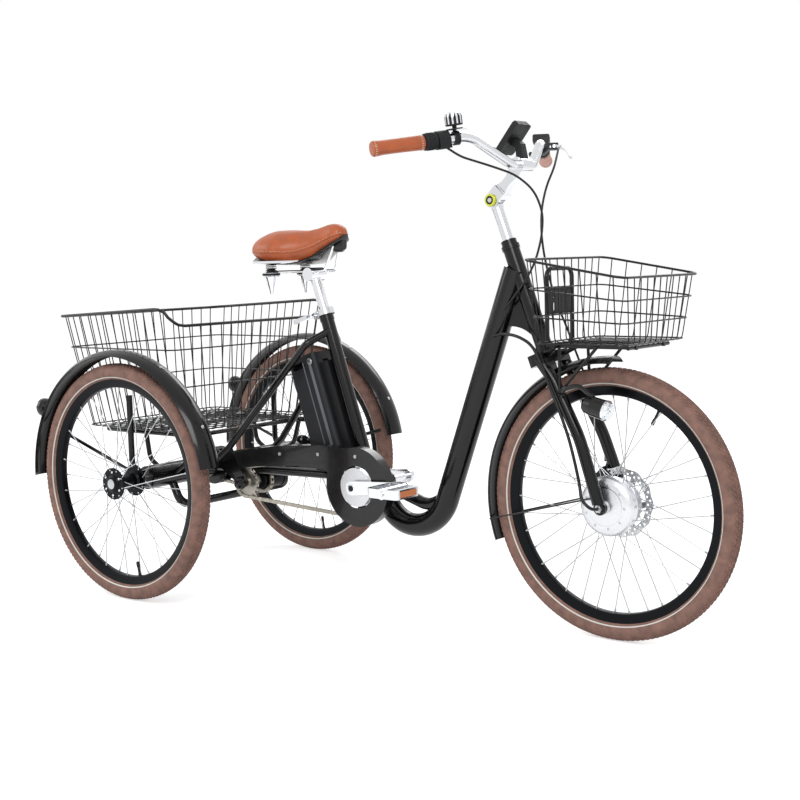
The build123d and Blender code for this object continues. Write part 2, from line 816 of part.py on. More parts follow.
for side, side_name in ((-1, "right"), (1, "left")):
    centre = rear_axle_centre + Vector(0, side * rear_track / 2, 0)
    with BuildPart() as rear_tyre:
        tyre(centre)
    write(rear_tyre.part, f"rear_tyre_{side_name}")
    with BuildPart() as rear_wheel:
        flange_radius = 40
        inner_flange = -32 * side
        outer_flange = 35 * side
        rim_and_spokes(
            centre, [(inner_flange, flange_radius - 5), (outer_flange, flange_radius - 5)]
        )
        for flange in (inner_flange, outer_flange):
            disc(lateral(centre), flange_radius, flange - 2.5, flange + 2.5)
        low, high = sorted((inner_flange - 6 * side, outer_flange + 10 * side))
        disc(lateral(centre), 19, low, high)
        inner_end = -10 if side < 0 else 45
        low, high = sorted((centre.Y + inner_flange, inner_end))
        disc(lateral(rear_axle_centre), axle_diameter / 2, low, high)
    write(rear_wheel.part, f"rear_wheel_{side_name}")

# ---------------------------------------------------------------- fork
crown_low = 338
crown_high = 364
race_height = head_tube_low - cup_height - crown_high - clear_gap
fork_end_half = hub_width / 2
with BuildPart() as fork:
    with BuildSketch(steer_plane(crown_low)):
        with Locations((3, 0)):
            RectangleRounded(44, 2 * fork_half_spread + 26, 12)
    extrude(amount=crown_high - crown_low)
    leg = [
        steer(crown_low + 14, 6, fork_half_spread),
        steer(296, 24, fork_half_spread),
        steer(158, 42, 50),
        steer(10, fork_offset, fork_end_half + 5),
    ]
    both_sides(leg, [90, 300], fork_leg_diameter)
    end_plane = lateral(front_axle_centre)
    for low in (-fork_end_half - 7, fork_end_half):
        disc(end_plane, 15, low, low + 7)
    disc(end_plane, 17, -fork_end_half, fork_end_half, Mode.SUBTRACT)
    disc(end_plane, front_axle_radius + fit_gap, -90, 90, Mode.SUBTRACT)
    ring(steer_plane(crown_high), head_tube_diameter / 2 + 1, 0, 0, race_height)
    disc(steer_plane(crown_high), steerer_diameter / 2, 0, steerer_top - crown_high)
    ring(
        steer_plane(head_tube_high + cup_height),
        head_tube_diameter / 2 - 1, steerer_diameter / 2, clear_gap, lock_nut_height,
    )
    disc(
        steer_plane(crown_high), quill_diameter / 2 + fit_gap, 8, steerer_top, Mode.SUBTRACT
    )
write(fork.part, "fork")

with BuildPart() as front_axle:
    nut_face = fork_end_half + 7
    disc(end_plane, front_axle_radius, -nut_face - 10, nut_face + 10)
    for low in (-nut_face - 7, nut_face):
        with BuildSketch(side_view(low + 7)) as nut:
            with Locations((front_axle_centre.X, front_axle_centre.Z)):
                RegularPolygon(9, 6)
        extrude(nut.sketch, amount=7)
write(front_axle.part, "front_axle")

# ---------------------------------------------------------------- front mudguard and stays
with BuildPart() as front_fender:
    mudguard(front_axle_centre, front_fender_radius, front_fender_width, 88, 200)
    tab_root = crown_low - 18
    with BuildSketch(steer_plane(tab_root)):
        Rectangle(16, 24)
    extrude(amount=crown_low - tab_root)
    for side in (-1, 1):
        straight_bar(
            front(-308, side * 28, axle_height - 58),
            steer(26, fork_offset - 8, side * (fork_end_half + 6)),
            4,
        )
    disc(end_plane, front_fender_radius - 17, -20, 20, Mode.SUBTRACT)
    add(fork.part, mode=Mode.SUBTRACT)
write(front_fender.part, "front_fender")

# ---------------------------------------------------------------- rear mudguards and lamps
with BuildPart() as rear_fenders:
    fender_side = rear_track / 2 + 2
    for side in (-1, 1):
        mudguard(
            rear_axle_centre + Vector(0, side * fender_side, 0),
            rear_fender_radius, rear_fender_width, 10.5, 181,
        )
    add(rack_frame.part, mode=Mode.SUBTRACT)
write(rear_fenders.part, "rear_fenders")

lamp_reach = 320
with BuildPart() as rear_lamps:
    for side in (-1, 1):
        lamp_plane = Plane(
            origin=rear(-lamp_reach, side * fender_side, 475), x_dir=(0, 1, 0), z_dir=(1, 0, 0)
        )
        turned(
            lamp_plane,
            [(0, 0), (14, 1), (21, 3), (24, 7), (24, 18), (20, 27), (12, 32), (12, 60), (0, 60)],
        )
    add(rear_fenders.part, mode=Mode.SUBTRACT)
    for side in (-1, 1):
        disc(
            lateral(rear_axle_centre + Vector(0, side * fender_side, 0)),
            rear_fender_radius - fender_wall / 2, -rear_fender_width / 2,
            rear_fender_width / 2, Mode.SUBTRACT,
        )
write(rear_lamps.part, "rear_lamps")

# ---------------------------------------------------------------- rear basket
with BuildPart() as rear_basket:
    floor = rear_basket_floor
    rim_height = floor + rear_basket_height
    for inset in (0, rear_basket_wall):
        cut = Mode.SUBTRACT if inset else Mode.ADD
        with BuildSketch(Plane.XY.offset(floor + inset)) as low_outline:
            with Locations((rear_axle_x - 88, 0)):
                RectangleRounded(385 - 2 * inset, 480 - 2 * inset, 26)
        with BuildSketch(Plane.XY.offset(rim_height)) as high_outline:
            with Locations((rear_axle_x - 92, 0)):
                RectangleRounded(445 - 2 * inset, 600 - 2 * inset, 34)
        loft([low_outline.sketch.face(), high_outline.sketch.face()], mode=cut)
    # the rim rises towards the front and dips between its front corners
    with BuildSketch(side_view(330)) as slope:
        with BuildLine():
            Polyline(
                (rear_axle_x - 330, rim_height - rear_rim_rise),
                (rear_axle_x + 140, rim_height),
                (rear_axle_x + 140, rim_height + 20),
                (rear_axle_x - 330, rim_height + 20),
                close=True,
            )
        make_face()
    extrude(slope.sketch, amount=660, mode=Mode.SUBTRACT)
    with BuildSketch(Plane.YZ.offset(rear_axle_x + 95)) as dip:
        with BuildLine():
            Polyline(
                (-310, rim_height + 5), (-225, rim_height - rear_rim_dip),
                (225, rim_height - rear_rim_dip), (310, rim_height + 5), close=True,
            )
        make_face()
    extrude(dip.sketch, amount=80, mode=Mode.SUBTRACT)
write(rear_basket.part, "rear_basket")

with BuildPart() as frame_bolts:
    # washers and heads that clamp the basket to the rack, and the screws of the chain guard
    for bolt_x in (-190, -84):
        for bolt_y in (-150, 150):
            bolt_plane = Plane(
                origin=(rear_axle_x + bolt_x, bolt_y, floor + rear_basket_wall),
                z_dir=(0, 0, 1),
            )
            disc(bolt_plane, 12, 0, 2)
            disc(bolt_plane, 6, 2, 6)
    for screw_x, screw_z in ((300, 360), (430, 368), (crank_ahead, crank_height + 75)):
        screw_centre = Vector(rear_axle_x + screw_x, -guard_outer_face, screw_z)
        disc(lateral(screw_centre), 4.5, -2.5, 0)
write(frame_bolts.part, "frame_bolts")

# ---------------------------------------------------------------- front carrier and basket
carrier_height = front_basket_floor - 5
with BuildPart() as front_carrier:
    both_sides(
        [
            steer(crown_high - 12, 12, 34),
            front(-103, 60, carrier_height),
            front(95, 60, carrier_height),
        ],
        [26],
        10,
    )
    for cross_x in (-95, 0, 88):
        straight_bar(
            front(cross_x, -88, carrier_height), front(cross_x, 88, carrier_height), 9
        )
    hoop_x = -130
    bent_bar(
        [
            front(-100, -52, carrier_height - 2),
            front(hoop_x, -52, carrier_height - 2),
            front(hoop_x, -52, 815),
            front(hoop_x, 52, 815),
            front(hoop_x, 52, carrier_height - 2),
            front(-100, 52, carrier_height - 2),
        ],
        [10, 20, 20, 10],
        10,
    )
    with BuildSketch(Plane.YZ.offset(front_axle_x + hoop_x - 1.5)) as plate:
        with Locations((0, 746)):
            Rectangle(100, 60)
            with Locations((-24, 14), (24, 14), (-24, -14), (24, -14)):
                SlotOverall(20, 7, rotation=90, mode=Mode.SUBTRACT)
    extrude(plate.sketch, amount=3)
    # struts down to lugs on the fork legs
    for side in (-1, 1):
        lug = steer(264, 40, side * (fork_half_spread + 17))
        straight_bar(front(-95, side * 60, carrier_height), lug, 7)
        straight_bar(front(0, side * 60, carrier_height), lug, 7)
        straight_bar(lug, steer(258, 28, side * (fork_half_spread + 6)), 10)
    add(fork.part, mode=Mode.SUBTRACT)
write(front_carrier.part, "front_carrier")

with BuildPart() as front_basket:
    front_rim = front_basket_floor + front_basket_height
    for inset in (0, front_basket_wall):
        cut = Mode.SUBTRACT if inset else Mode.ADD
        with BuildSketch(Plane.XY.offset(front_basket_floor + inset)) as low_outline:
            with Locations((front_axle_x - 4, 0)):
                RectangleRounded(226 - 2 * inset, 272 - 2 * inset, 20)
        with BuildSketch(Plane.XY.offset(front_rim)) as high_outline:
            with Locations((front_axle_x + 3, 0)):
                RectangleRounded(244 - 2 * inset, 348 - 2 * inset, 26)
        loft([low_outline.sketch.face(), high_outline.sketch.face()], mode=cut)
    with BuildSketch(Plane.XZ.offset(-200)) as slope:
        with BuildLine():
            Polyline(
                (front_axle_x - 130, front_rim + 1), (front_axle_x + 130, front_rim + 1),
                (front_axle_x + 130, front_rim - 42), close=True,
            )
        make_face()
    extrude(slope.sketch, amount=400, mode=Mode.SUBTRACT)
write(front_basket.part, "front_basket")

# ---------------------------------------------------------------- headlight
lamp_side = -(fork_half_spread + 22)
with BuildPart() as headlight:
    lamp_axis = Plane(origin=front(-28, lamp_side, 527), z_dir=(0.97, 0, -0.24))
    turned(lamp_axis, [(0, 0), (15, 0), (18, 4), (21, 20), (22, 52), (0, 52)])
    bent_bar(
        [
            steer(250, 30, -fork_half_spread - 4),
            front(-80, lamp_side - 2, 556),
            front(-44, lamp_side, 566),
            front(-6, lamp_side, 542),
        ],
        [18, 30],
        10,
    )
    add(fork.part, mode=Mode.SUBTRACT)
    add(front_carrier.part, mode=Mode.SUBTRACT)
write(headlight.part, "headlight")

with BuildPart() as headlight_lens:
    turned(lamp_axis, [(0, 52), (22, 52), (22, 58), (18, 63), (0, 65)])
write(headlight_lens.part, "headlight_lens")

# ---------------------------------------------------------------- brake caliper
with BuildPart() as brake_caliper:
    caliper_plane = Plane(
        origin=front(-50, 39, axle_height + 50), x_dir=(0.7, 0, 0.7), z_dir=(-0.7, 0, 0.7)
    )
    with BuildSketch(caliper_plane.offset(-22)):
        Rectangle(46, 20)
    extrude(amount=36)
    with BuildSketch(side_view(35 + 3)) as rotor_slot:
        with Locations((front_axle_centre.X, front_axle_centre.Z)):
            Circle(rotor_radius + 3)
    extrude(rotor_slot.sketch, amount=6, mode=Mode.SUBTRACT)
    straight_bar(front(-44, 44, axle_height + 62), steer(96, 34, 52), 10)
    add(fork.part, mode=Mode.SUBTRACT)
write(brake_caliper.part, "brake_caliper")

# ---------------------------------------------------------------- quill stem and arm
pivot_point = steer(stem_pivot_along)
knuckle_radius = 15
knuckle_half = 9
cheek_half = 16.5
stem_rise = 44.6
stem_length = 104
clamp_half_width = 22
clamp_outer_radius = bar_clamp_diameter / 2 + 6
clamp_point = pivot_point + Vector(
    stem_length * cos(radians(stem_rise)), 0, stem_length * sin(radians(stem_rise))
)
with BuildPart() as quill_stem:
    disc(steer_plane(480), quill_diameter / 2, 0, stem_pivot_along - 20 - 480)
    with BuildSketch(steer_plane(stem_pivot_along - 22)):
        Rectangle(22, 2 * knuckle_half)
    extrude(amount=22)
    disc(lateral(pivot_point), knuckle_radius, -knuckle_half, knuckle_half)
    disc(lateral(pivot_point), 5 + fit_gap, -knuckle_half, knuckle_half, Mode.SUBTRACT)
write(quill_stem.part, "quill_stem")

with BuildPart() as stem_arm:
    with BuildSketch(side_view(cheek_half)) as arm_side:
        with Locations((pivot_point.X, pivot_point.Z)):
            Circle(16)
        with Locations((clamp_point.X, clamp_point.Z)):
            Circle(clamp_outer_radius - 1)
        make_hull()
    extrude(arm_side.sketch, amount=2 * cheek_half)
    # waist between the two ends, in height and in width
    waist_radius = 60
    waist_half = 10
    waist_side = 11
    waist_length = 50
    arm_along = (clamp_point - pivot_point).normalized()
    arm_across = Vector(-arm_along.Z, 0, arm_along.X)
    arm_middle = (pivot_point + clamp_point) / 2 + arm_along * 4
    for side in (-1, 1):
        scoop = arm_middle + arm_across * side * (waist_radius + waist_half)
        disc(lateral(scoop), waist_radius, -cheek_half, cheek_half, Mode.SUBTRACT)
        with BuildSketch(Plane(arm_middle, x_dir=arm_along, z_dir=arm_across)) as flank:
            with Locations((0, side * (waist_side + 10))):
                RectangleRounded(waist_length, 20, 6)
        extrude(flank.sketch, amount=30, both=True, mode=Mode.SUBTRACT)
    disc(lateral(clamp_point), clamp_outer_radius, -clamp_half_width, clamp_half_width)
    disc(lateral(pivot_point), 23, -knuckle_half - 0.4, knuckle_half + 0.4, Mode.SUBTRACT)
    disc(
        lateral(clamp_point), bar_clamp_diameter / 2, -clamp_half_width, clamp_half_width,
        Mode.SUBTRACT,
    )
    # pivot bolt with a washer at each cheek
    disc(lateral(pivot_point), 5, -cheek_half - 5, cheek_half + 5)
    for low in (-cheek_half - 3, cheek_half):
        disc(lateral(pivot_point), 12, low, low + 3)
write(stem_arm.part, "stem_arm")

# ---------------------------------------------------------------- handlebar
bar_end = clamp_point + Vector(-150, -335, 32)
bar_bend = clamp_point + Vector(-40, -140, 60)
bar_root = clamp_point + Vector(0, -42, 0)
with BuildPart() as handlebar:
    right_points = [bar_end, bar_bend, bar_root]
    left_points = mirrored_points(right_points)
    bent_bar(right_points + left_points[::-1], [80, 44, 44, 80], bar_diameter)
    disc(
        lateral(clamp_point), bar_clamp_diameter / 2, -clamp_half_width, clamp_half_width
    )
write(handlebar.part, "handlebar")

bar_inward = (bar_bend - bar_end).normalized()
bar_ahead = Vector(bar_inward.Y, -bar_inward.X, 0).normalized()


def bar_plane(along):
    """A plane square to the right end of the handlebar; x points ahead and y points down."""
    return Plane(origin=bar_end + bar_inward * along, x_dir=bar_ahead, z_dir=bar_inward)


bar_radius = bar_diameter / 2 + fit_gap / 2
with BuildPart() as grips:
    turned(
        bar_plane(0),
        [
            (0, -5), (13, -5), (grip_diameter / 2, 0), (grip_diameter / 2 - 1.5, 40),
            (grip_diameter / 2 - 1.5, 80), (grip_diameter / 2 + 0.5, grip_length),
            (bar_radius, grip_length), (bar_radius, -0.2), (0, -0.2),
        ],
    )
    mirror(about=Plane.XZ)
write(grips.part, "grips")

sleeve_start = grip_length + 2
sleeve_end = sleeve_start + 27
shifter_end = sleeve_end + 28
lever_clamp_start = sleeve_end + 24
lever_clamp_end = lever_clamp_start + 14
lever_along = lever_clamp_start + 7
with BuildPart() as shifter_sleeve:
    ring(bar_plane(0), 18, bar_radius + clear_gap, sleeve_start, sleeve_end)
write(shifter_sleeve.part, "shifter_sleeve")

with BuildPart() as lever_mounts:
    clamp_outer = 17
    with BuildSketch(bar_plane(lever_clamp_start)):
        Circle(clamp_outer)
        with Locations((lever_pivot_forward - 4, 0)):
            Rectangle(26, 16)
        Circle(bar_radius, mode=Mode.SUBTRACT)
    extrude(amount=lever_clamp_end - lever_clamp_start)
    # slot that the lever's root turns in, and its pivot pin
    slot_half = 4
    slot_floor = 18.5
    mouth = bar_plane(lever_along)
    slot_frame = Plane(
        origin=mouth.origin + mouth.x_dir * (slot_floor + 20), x_dir=mouth.x_dir,
        z_dir=mouth.y_dir,
    )
    with BuildSketch(slot_frame.offset(-slot_half)):
        Rectangle(40, 60)
    extrude(amount=2 * slot_half, mode=Mode.SUBTRACT)
    pin_frame = Plane(
        origin=mouth.origin + mouth.x_dir * lever_pivot_forward, x_dir=mouth.x_dir,
        z_dir=mouth.y_dir,
    )
    disc(pin_frame, 2.5, -8, 8)
    mirror(about=Plane.XZ, mode=Mode.REPLACE)
    # shift housing beside the right sleeve
    with BuildSketch(bar_plane(sleeve_end + 1)):
        Circle(20)
        with Locations((10, 8)):
            Rectangle(22, 22)
        Circle(bar_radius, mode=Mode.SUBTRACT)
    extrude(amount=shifter_end - sleeve_end - 1)
write(lever_mounts.part, "lever_mounts")

blade_half = 3.5
with BuildPart() as brake_lever:
    with BuildSketch(pin_frame.offset(-blade_half)):
        with BuildLine():
            Polyline(
                (-6, 0), (6, 0), (20, 36), (24, 60), (30, 138), (36, 146), (30, 150),
                (22, 142), (14, 70), (8, 40), close=True,
            )
        make_face()
        Circle(8)
        Circle(2.5 + fit_gap, mode=Mode.SUBTRACT)
    extrude(amount=2 * blade_half)
    mirror(about=Plane.XZ, mode=Mode.REPLACE)
write(brake_lever.part, "brake_lever")

# ---------------------------------------------------------------- bell
bell_along = shifter_end + 20
bell_axis_plane = bar_plane(bell_along)
bell_up = bell_axis_plane.y_dir * -1
bell_frame = Plane(
    origin=bell_axis_plane.origin, x_dir=bell_axis_plane.x_dir, z_dir=bell_up
)
with BuildPart() as bell:
    ring(bar_plane(0), 15, bar_radius, bell_along - 6, bell_along + 6)
    disc(bell_frame, 5, bar_radius + 2, 28)
    ring(bell_frame, 18, 0, 18, 21)
    turned(
        bell_frame,
        [(0, 27), (18, 27), (19, 29), (19, 46), (16, 53), (9, 56), (0, 57)],
    )
write(bell.part, "bell")

striker_ahead = 15
with BuildPart() as bell_striker:
    striker_frame = Plane(
        origin=bell_frame.origin + bell_frame.x_dir * striker_ahead, x_dir=bell_frame.x_dir,
        z_dir=bell_up,
    )
    with BuildSketch(striker_frame.offset(15)):
        Circle(4)
        with Locations((10, 12)):
            Circle(4)
        make_hull()
    extrude(amount=3)
write(bell_striker.part, "bell_striker")

# ---------------------------------------------------------------- display and thumb controls
with BuildPart() as display:
    face_plane = Plane(
        origin=clamp_point + Vector(-22, 0, 62), x_dir=(0, 1, 0), z_dir=(-0.77, 0, 0.64)
    )
    with BuildSketch(face_plane.offset(-7)):
        RectangleRounded(58, 82, 8)
    extrude(amount=14)
    with BuildSketch(side_view(10)) as strap:
        with BuildLine():
            Polyline(
                *[(clamp_point.X + x, clamp_point.Z + z) for x, z in
                  [(-8, 14), (12, 12), (4, 48), (-16, 64), (-30, 50), (-10, 40)]],
                close=True,
            )
        make_face()
    extrude(strap.sketch, amount=20)
    add(stem_arm.part, mode=Mode.SUBTRACT)
    add(handlebar.part, mode=Mode.SUBTRACT)
write(display.part, "display")

left_end = Vector(bar_end.X, -bar_end.Y, bar_end.Z)
left_inward = Vector(bar_inward.X, -bar_inward.Y, bar_inward.Z)
left_ahead = Vector(bar_ahead.X, -bar_ahead.Y, bar_ahead.Z)


def left_plane(along):
    """A plane square to the left end of the handlebar; x points ahead and y points up."""
    return Plane(origin=left_end + left_inward * along, x_dir=left_ahead, z_dir=left_inward)


with BuildPart() as throttle:
    ring(left_plane(0), 16, bar_radius + clear_gap, sleeve_start, sleeve_start + 14)
    with BuildSketch(left_plane(sleeve_start)):
        with Locations((-22, -8)):
            RectangleRounded(22, 9, 4)
    extrude(amount=22)
    disc(left_plane(0), bar_radius + clear_gap, 0, 200, Mode.SUBTRACT)
write(throttle.part, "throttle")

with BuildPart() as control_pad:
    pad_start = sleeve_start + 24
    pad_top = 33
    ring(left_plane(0), 15, bar_radius, pad_start, pad_start + 14)
    with BuildSketch(left_plane(pad_start - 6)):
        with Locations((-2, pad_top - 10)):
            RectangleRounded(40, 20, 4)
    extrude(amount=30)
    key_frame = Plane(
        origin=left_plane(pad_start + 9).origin + left_plane(0).y_dir * pad_top
        - left_plane(0).x_dir * 8,
        x_dir=left_plane(0).x_dir, z_dir=left_plane(0).y_dir,
    )
    disc(key_frame, 6.3, -4, 2, Mode.SUBTRACT)
write(control_pad.part, "control_pad")

with BuildPart() as assist_button:
    disc(key_frame, 6, -2, 1.5)
write(assist_button.part, "assist_button")

# ---------------------------------------------------------------- saddle
clamp_middle = seat(seat_post_top - 6)
rail_height = clamp_middle.Z + 8
saddle_low = rail_height + 28
saddle_rise = 88            # from the underside of the saddle to the top of its nose


def saddle_x(x):
    """A distance ahead of the post's top, from one measured from the rear axle."""
    return clamp_middle.X + x - 351.5


def saddle_outline(inset):
    """Plan of the saddle: wide at the tail and narrow at the nose."""
    half = [(196, 62), (220, 104), (282, 110), (336, 80), (392, 42), (440, 32), (458, 14)]
    side = [(saddle_x(x + (inset if x < 300 else -inset)), y - inset) for x, y in half]
    with BuildLine() as border:
        Spline(*side)
        Spline(*[(x, -y) for x, y in side])
        Line((side[0][0], side[0][1]), (side[0][0], -side[0][1]))
        Line((side[-1][0], side[-1][1]), (side[-1][0], -side[-1][1]))
    make_face(border.edges())


with BuildPart() as saddle_pad:
    with BuildSketch(Plane.XY.offset(saddle_low)) as pad_plan:
        saddle_outline(0)
    extrude(pad_plan.sketch, amount=saddle_rise)
    # flat under the seat, swept up to the nose
    with BuildSketch(side_view(130)) as pad_side:
        with BuildLine():
            Polyline(
                *[(saddle_x(x), saddle_low + z) for x, z in
                  [(190, 0), (346, 0), (400, 24), (462, 48), (462, 74), (448, saddle_rise),
                   (428, saddle_rise), (396, 80), (352, 70), (300, 73), (236, 73), (206, 62),
                   (190, 40)]],
                close=True,
            )
        make_face()
    extrude(pad_side.sketch, amount=260, mode=Mode.INTERSECT)
write(saddle_pad.part, "saddle_pad")

with BuildPart() as seat_post:
    ring(
        seat_plane(0), seat_post_diameter / 2, seat_post_diameter / 2 - 2, 250, seat_post_top
    )
write(seat_post.part, "seat_post")

with BuildPart() as saddle_base:
    with BuildSketch(Plane.XY.offset(saddle_low - 6)) as base_plan:
        saddle_outline(9)
        with Locations((saddle_x(346 + 80), 0)):
            Rectangle(160, 300, mode=Mode.SUBTRACT)
    extrude(base_plan.sketch, amount=6)
    both_sides(
        [
            Vector(saddle_x(432), 10, saddle_low + 46),
            Vector(saddle_x(404), 20, rail_height),
            Vector(saddle_x(300), 22, rail_height),
            Vector(saddle_x(262), 64, rail_height),
        ],
        [12, 40],
        7,
    )
    disc(lateral(clamp_middle), 17, -27, 27)
    for side in (-1, 1):
        cup_plane = Plane(origin=(saddle_x(262), side * 64, rail_height - 56), z_dir=(0, 0, 1))
        turned(
            cup_plane,
            [(0, 0), (4, 0), (18, 44), (21, 46), (21, 54), (12, 60), (8, 66), (8, 79), (0, 79)],
        )
    add(seat_post.part, mode=Mode.SUBTRACT)
    add(saddle_pad.part, mode=Mode.SUBTRACT)
    disc(seat_plane(0), seat_post_diameter / 2, 250, seat_post_top, Mode.SUBTRACT)
write(saddle_base.part, "saddle_base")

# ---------------------------------------------------------------- cables
def cable(points, diameter):
    """A cable of straight runs and tangent arcs as large as the runs allow."""
    radii = soft_bends(points)
    print("cable bend radii", [round(radius, 1) for radius in radii])
    bent_bar(points, radii, diameter)


lever_root = pin_frame.origin + bar_inward * 9 + bar_ahead * 14
shifter_face = bar_plane(shifter_end)
shifter_exit = bar_plane(shifter_end - 8).origin + shifter_face.y_dir * 19 + bar_ahead * 12
with BuildPart() as gear_cable:
    # from the twist shifter to a port in the main tube
    cable(
        [
            shifter_exit,
            shifter_exit + Vector(16, 26, -18),
            front(-232, -112, 1040),
            front(-196, -66, 1020),
            front(-170, -34, 986),
            front(-158, -18, 936),
            front(-160, -22, 884),
            front(-178, -20, 832),
            front(-204, -24, 786),
            front(-244, -24, 742),
            front(-286, -20, 704),
        ],
        cable_diameter,
    )
    add(main_frame.part, mode=Mode.SUBTRACT)
    add(lever_mounts.part, mode=Mode.SUBTRACT)
write(gear_cable.part, "gear_cable")

left_lever_root = Vector(lever_root.X, -lever_root.Y, lever_root.Z)
with BuildPart() as front_brake_cable:
    cable(
        [
            left_lever_root,
            left_lever_root + Vector(18, -36, -8),
            front(-196, 90, 1040),
            front(-196, 56, 998),
            front(-198, 38, 948),
            front(-196, 32, 896),
            front(-190, 34, 842),
            front(-178, 38, 788),
            front(-166, 44, 736),
            front(-150, 56, 690),
            front(-136, 66, 640),
            front(-116, 72, 586),
            front(-96, 74, 532),
            front(-76, 74, 478),
            front(-58, 70, 426),
            front(-52, 58, 384),
        ],
        cable_diameter,
    )
    add(fork.part, mode=Mode.SUBTRACT)
    add(brake_caliper.part, mode=Mode.SUBTRACT)
write(front_brake_cable.part, "front_brake_cable")

with BuildPart() as motor_cable:
    axle_tip = nut_face + 10
    cable(
        [
            front_axle_centre - Vector(0, axle_tip, 0),
            front_axle_centre + Vector(-4, -axle_tip - 22, 4),
            front_axle_centre + Vector(-26, -axle_tip - 22, 22),
            front_axle_centre + Vector(-36, -axle_tip - 10, 50),
            front(-46, -80, 396),
            front(-64, -74, 448),
            front(-86, -71, 500),
            front(-112, -68, 552),
            front(-134, -68, 604),
            front(-162, -64, 650),
            front(-206, -55, 668),
            front(-254, -41, 672),
            front(-300, -22, 662),
        ],
        motor_cable_diameter,
    )
    add(main_frame.part, mode=Mode.SUBTRACT)
    add(front_axle.part, mode=Mode.SUBTRACT)
write(motor_cable.part, "motor_cable")
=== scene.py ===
"""Adult electric tricycle: tyres, wheels, baskets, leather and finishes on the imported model."""

import json
from math import asin, atan2, cos, hypot, pi, radians, sin

import bmesh
import bpy
from bpy.props import FloatProperty, IntProperty, PointerProperty, StringProperty
from mathutils import Matrix, Vector
from mathutils.bvhtree import BVHTree


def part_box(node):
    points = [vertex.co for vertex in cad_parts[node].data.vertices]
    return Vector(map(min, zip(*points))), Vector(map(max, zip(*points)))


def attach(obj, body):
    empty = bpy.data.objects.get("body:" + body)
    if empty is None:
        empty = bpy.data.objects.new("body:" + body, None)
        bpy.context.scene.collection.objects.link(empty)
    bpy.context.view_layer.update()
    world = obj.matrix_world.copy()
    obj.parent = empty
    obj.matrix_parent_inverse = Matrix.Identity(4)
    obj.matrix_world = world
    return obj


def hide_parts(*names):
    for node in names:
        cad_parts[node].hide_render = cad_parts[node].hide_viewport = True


bl_info = {
    "name": "Adult tricycle maker",
    "version": (1, 0, 0),
    "blender": (4, 5, 0),
    "location": "View3D > Sidebar > Tricycle",
    "description": "Dresses the packed tricycle with wheels, baskets, leather and finishes",
    "category": "Object",
}

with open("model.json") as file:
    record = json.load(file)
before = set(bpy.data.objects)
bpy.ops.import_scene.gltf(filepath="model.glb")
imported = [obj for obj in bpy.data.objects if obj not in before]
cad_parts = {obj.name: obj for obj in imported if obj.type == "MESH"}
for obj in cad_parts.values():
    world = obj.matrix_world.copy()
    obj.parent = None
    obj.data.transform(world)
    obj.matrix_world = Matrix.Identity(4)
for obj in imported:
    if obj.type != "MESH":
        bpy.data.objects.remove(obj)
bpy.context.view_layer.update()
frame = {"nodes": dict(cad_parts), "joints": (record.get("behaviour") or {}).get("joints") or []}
joints = {joint["name"]: joint for joint in frame["joints"]}

MM = 0.001
FRONT_AXLE = Vector(joints["front_wheel_spin"]["pos_m"])
REAR_RIGHT = Vector(joints["rear_wheel_right_spin"]["pos_m"])
REAR_LEFT = Vector(joints["rear_wheel_left_spin"]["pos_m"])
REAR_X = REAR_RIGHT.x
AXLE_HEIGHT = FRONT_AXLE.z
CRANK = Vector(joints["crank_spin"]["pos_m"])
GEAR_HUB = Vector(joints["gear_hub_spin"]["pos_m"])
STEM_PIVOT = Vector(joints["stem_tilt"]["pos_m"])
SIDE_NAMES = ((-1, "right"), (1, "left"))
CREASE = 35                   # degrees over which an edge stays sharp
MERGE_DISTANCE = 1e-6
BEND_STEPS = 6                # straight pieces in a wire's bend
LAMP_SIDE = 352 * MM          # mudguards and rear lamps, out from the middle
LAMP_HEIGHT = 475 * MM
SEAT_FOOT_BACK = 27.5 * MM    # seat tube's foot behind the crank
CRANK_FACE = 114 * MM         # outer face of a crank arm
BELL_ALONG = 192 * MM         # bell's clamp from the end of the bar
SHIFTER_ALONG = 130 * MM      # middle of the twist sleeve from the end of the bar
SPRING_CUP = (262, 64, 762)   # left spring cup's foot: ahead of the rear axle, side, height


# ---------------------------------------------------------------- user settings
def colour_setting(name, code, description):
    """A colour that a user may change, given as an sRGB hex value."""
    return StringProperty(name=name, description=description, default=code)


class TricycleSizes(bpy.types.PropertyGroup):
    """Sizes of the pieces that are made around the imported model."""

    spoke_count: IntProperty(
        name="Spokes", description="Spokes in each wheel", default=36, min=12, max=48)
    spoke_width: FloatProperty(
        name="Spoke width", description="Diameter of a spoke", default=2.4 * MM, unit="LENGTH")
    tread_rows: IntProperty(
        name="Tread rows", description="Rows of tread blocks round a tyre", default=150, min=20)
    rim_wire: FloatProperty(
        name="Basket rim wire", description="Diameter of the rear basket's rim", default=8 * MM,
        unit="LENGTH")
    basket_wire: FloatProperty(
        name="Basket wire", description="Diameter of the baskets' thin wires", default=3 * MM,
        unit="LENGTH")
    rear_side_gap: FloatProperty(
        name="Rear side spacing", description="Wire spacing along the rear basket's sides",
        default=31 * MM, unit="LENGTH")
    rear_end_gap: FloatProperty(
        name="Rear end spacing", description="Wire spacing across the rear basket's ends",
        default=38 * MM, unit="LENGTH")
    front_side_gap: FloatProperty(
        name="Front side spacing", description="Wire spacing along the front basket's sides",
        default=42 * MM, unit="LENGTH")
    front_end_gap: FloatProperty(
        name="Front end spacing", description="Wire spacing across the front basket's ends",
        default=30 * MM, unit="LENGTH")
    chain_pitch: FloatProperty(
        name="Chain pitch", description="Distance between chain pins", default=12.7 * MM,
        unit="LENGTH")
    stitch_pitch: FloatProperty(
        name="Stitch pitch", description="Distance between stitches", default=5 * MM,
        unit="LENGTH")


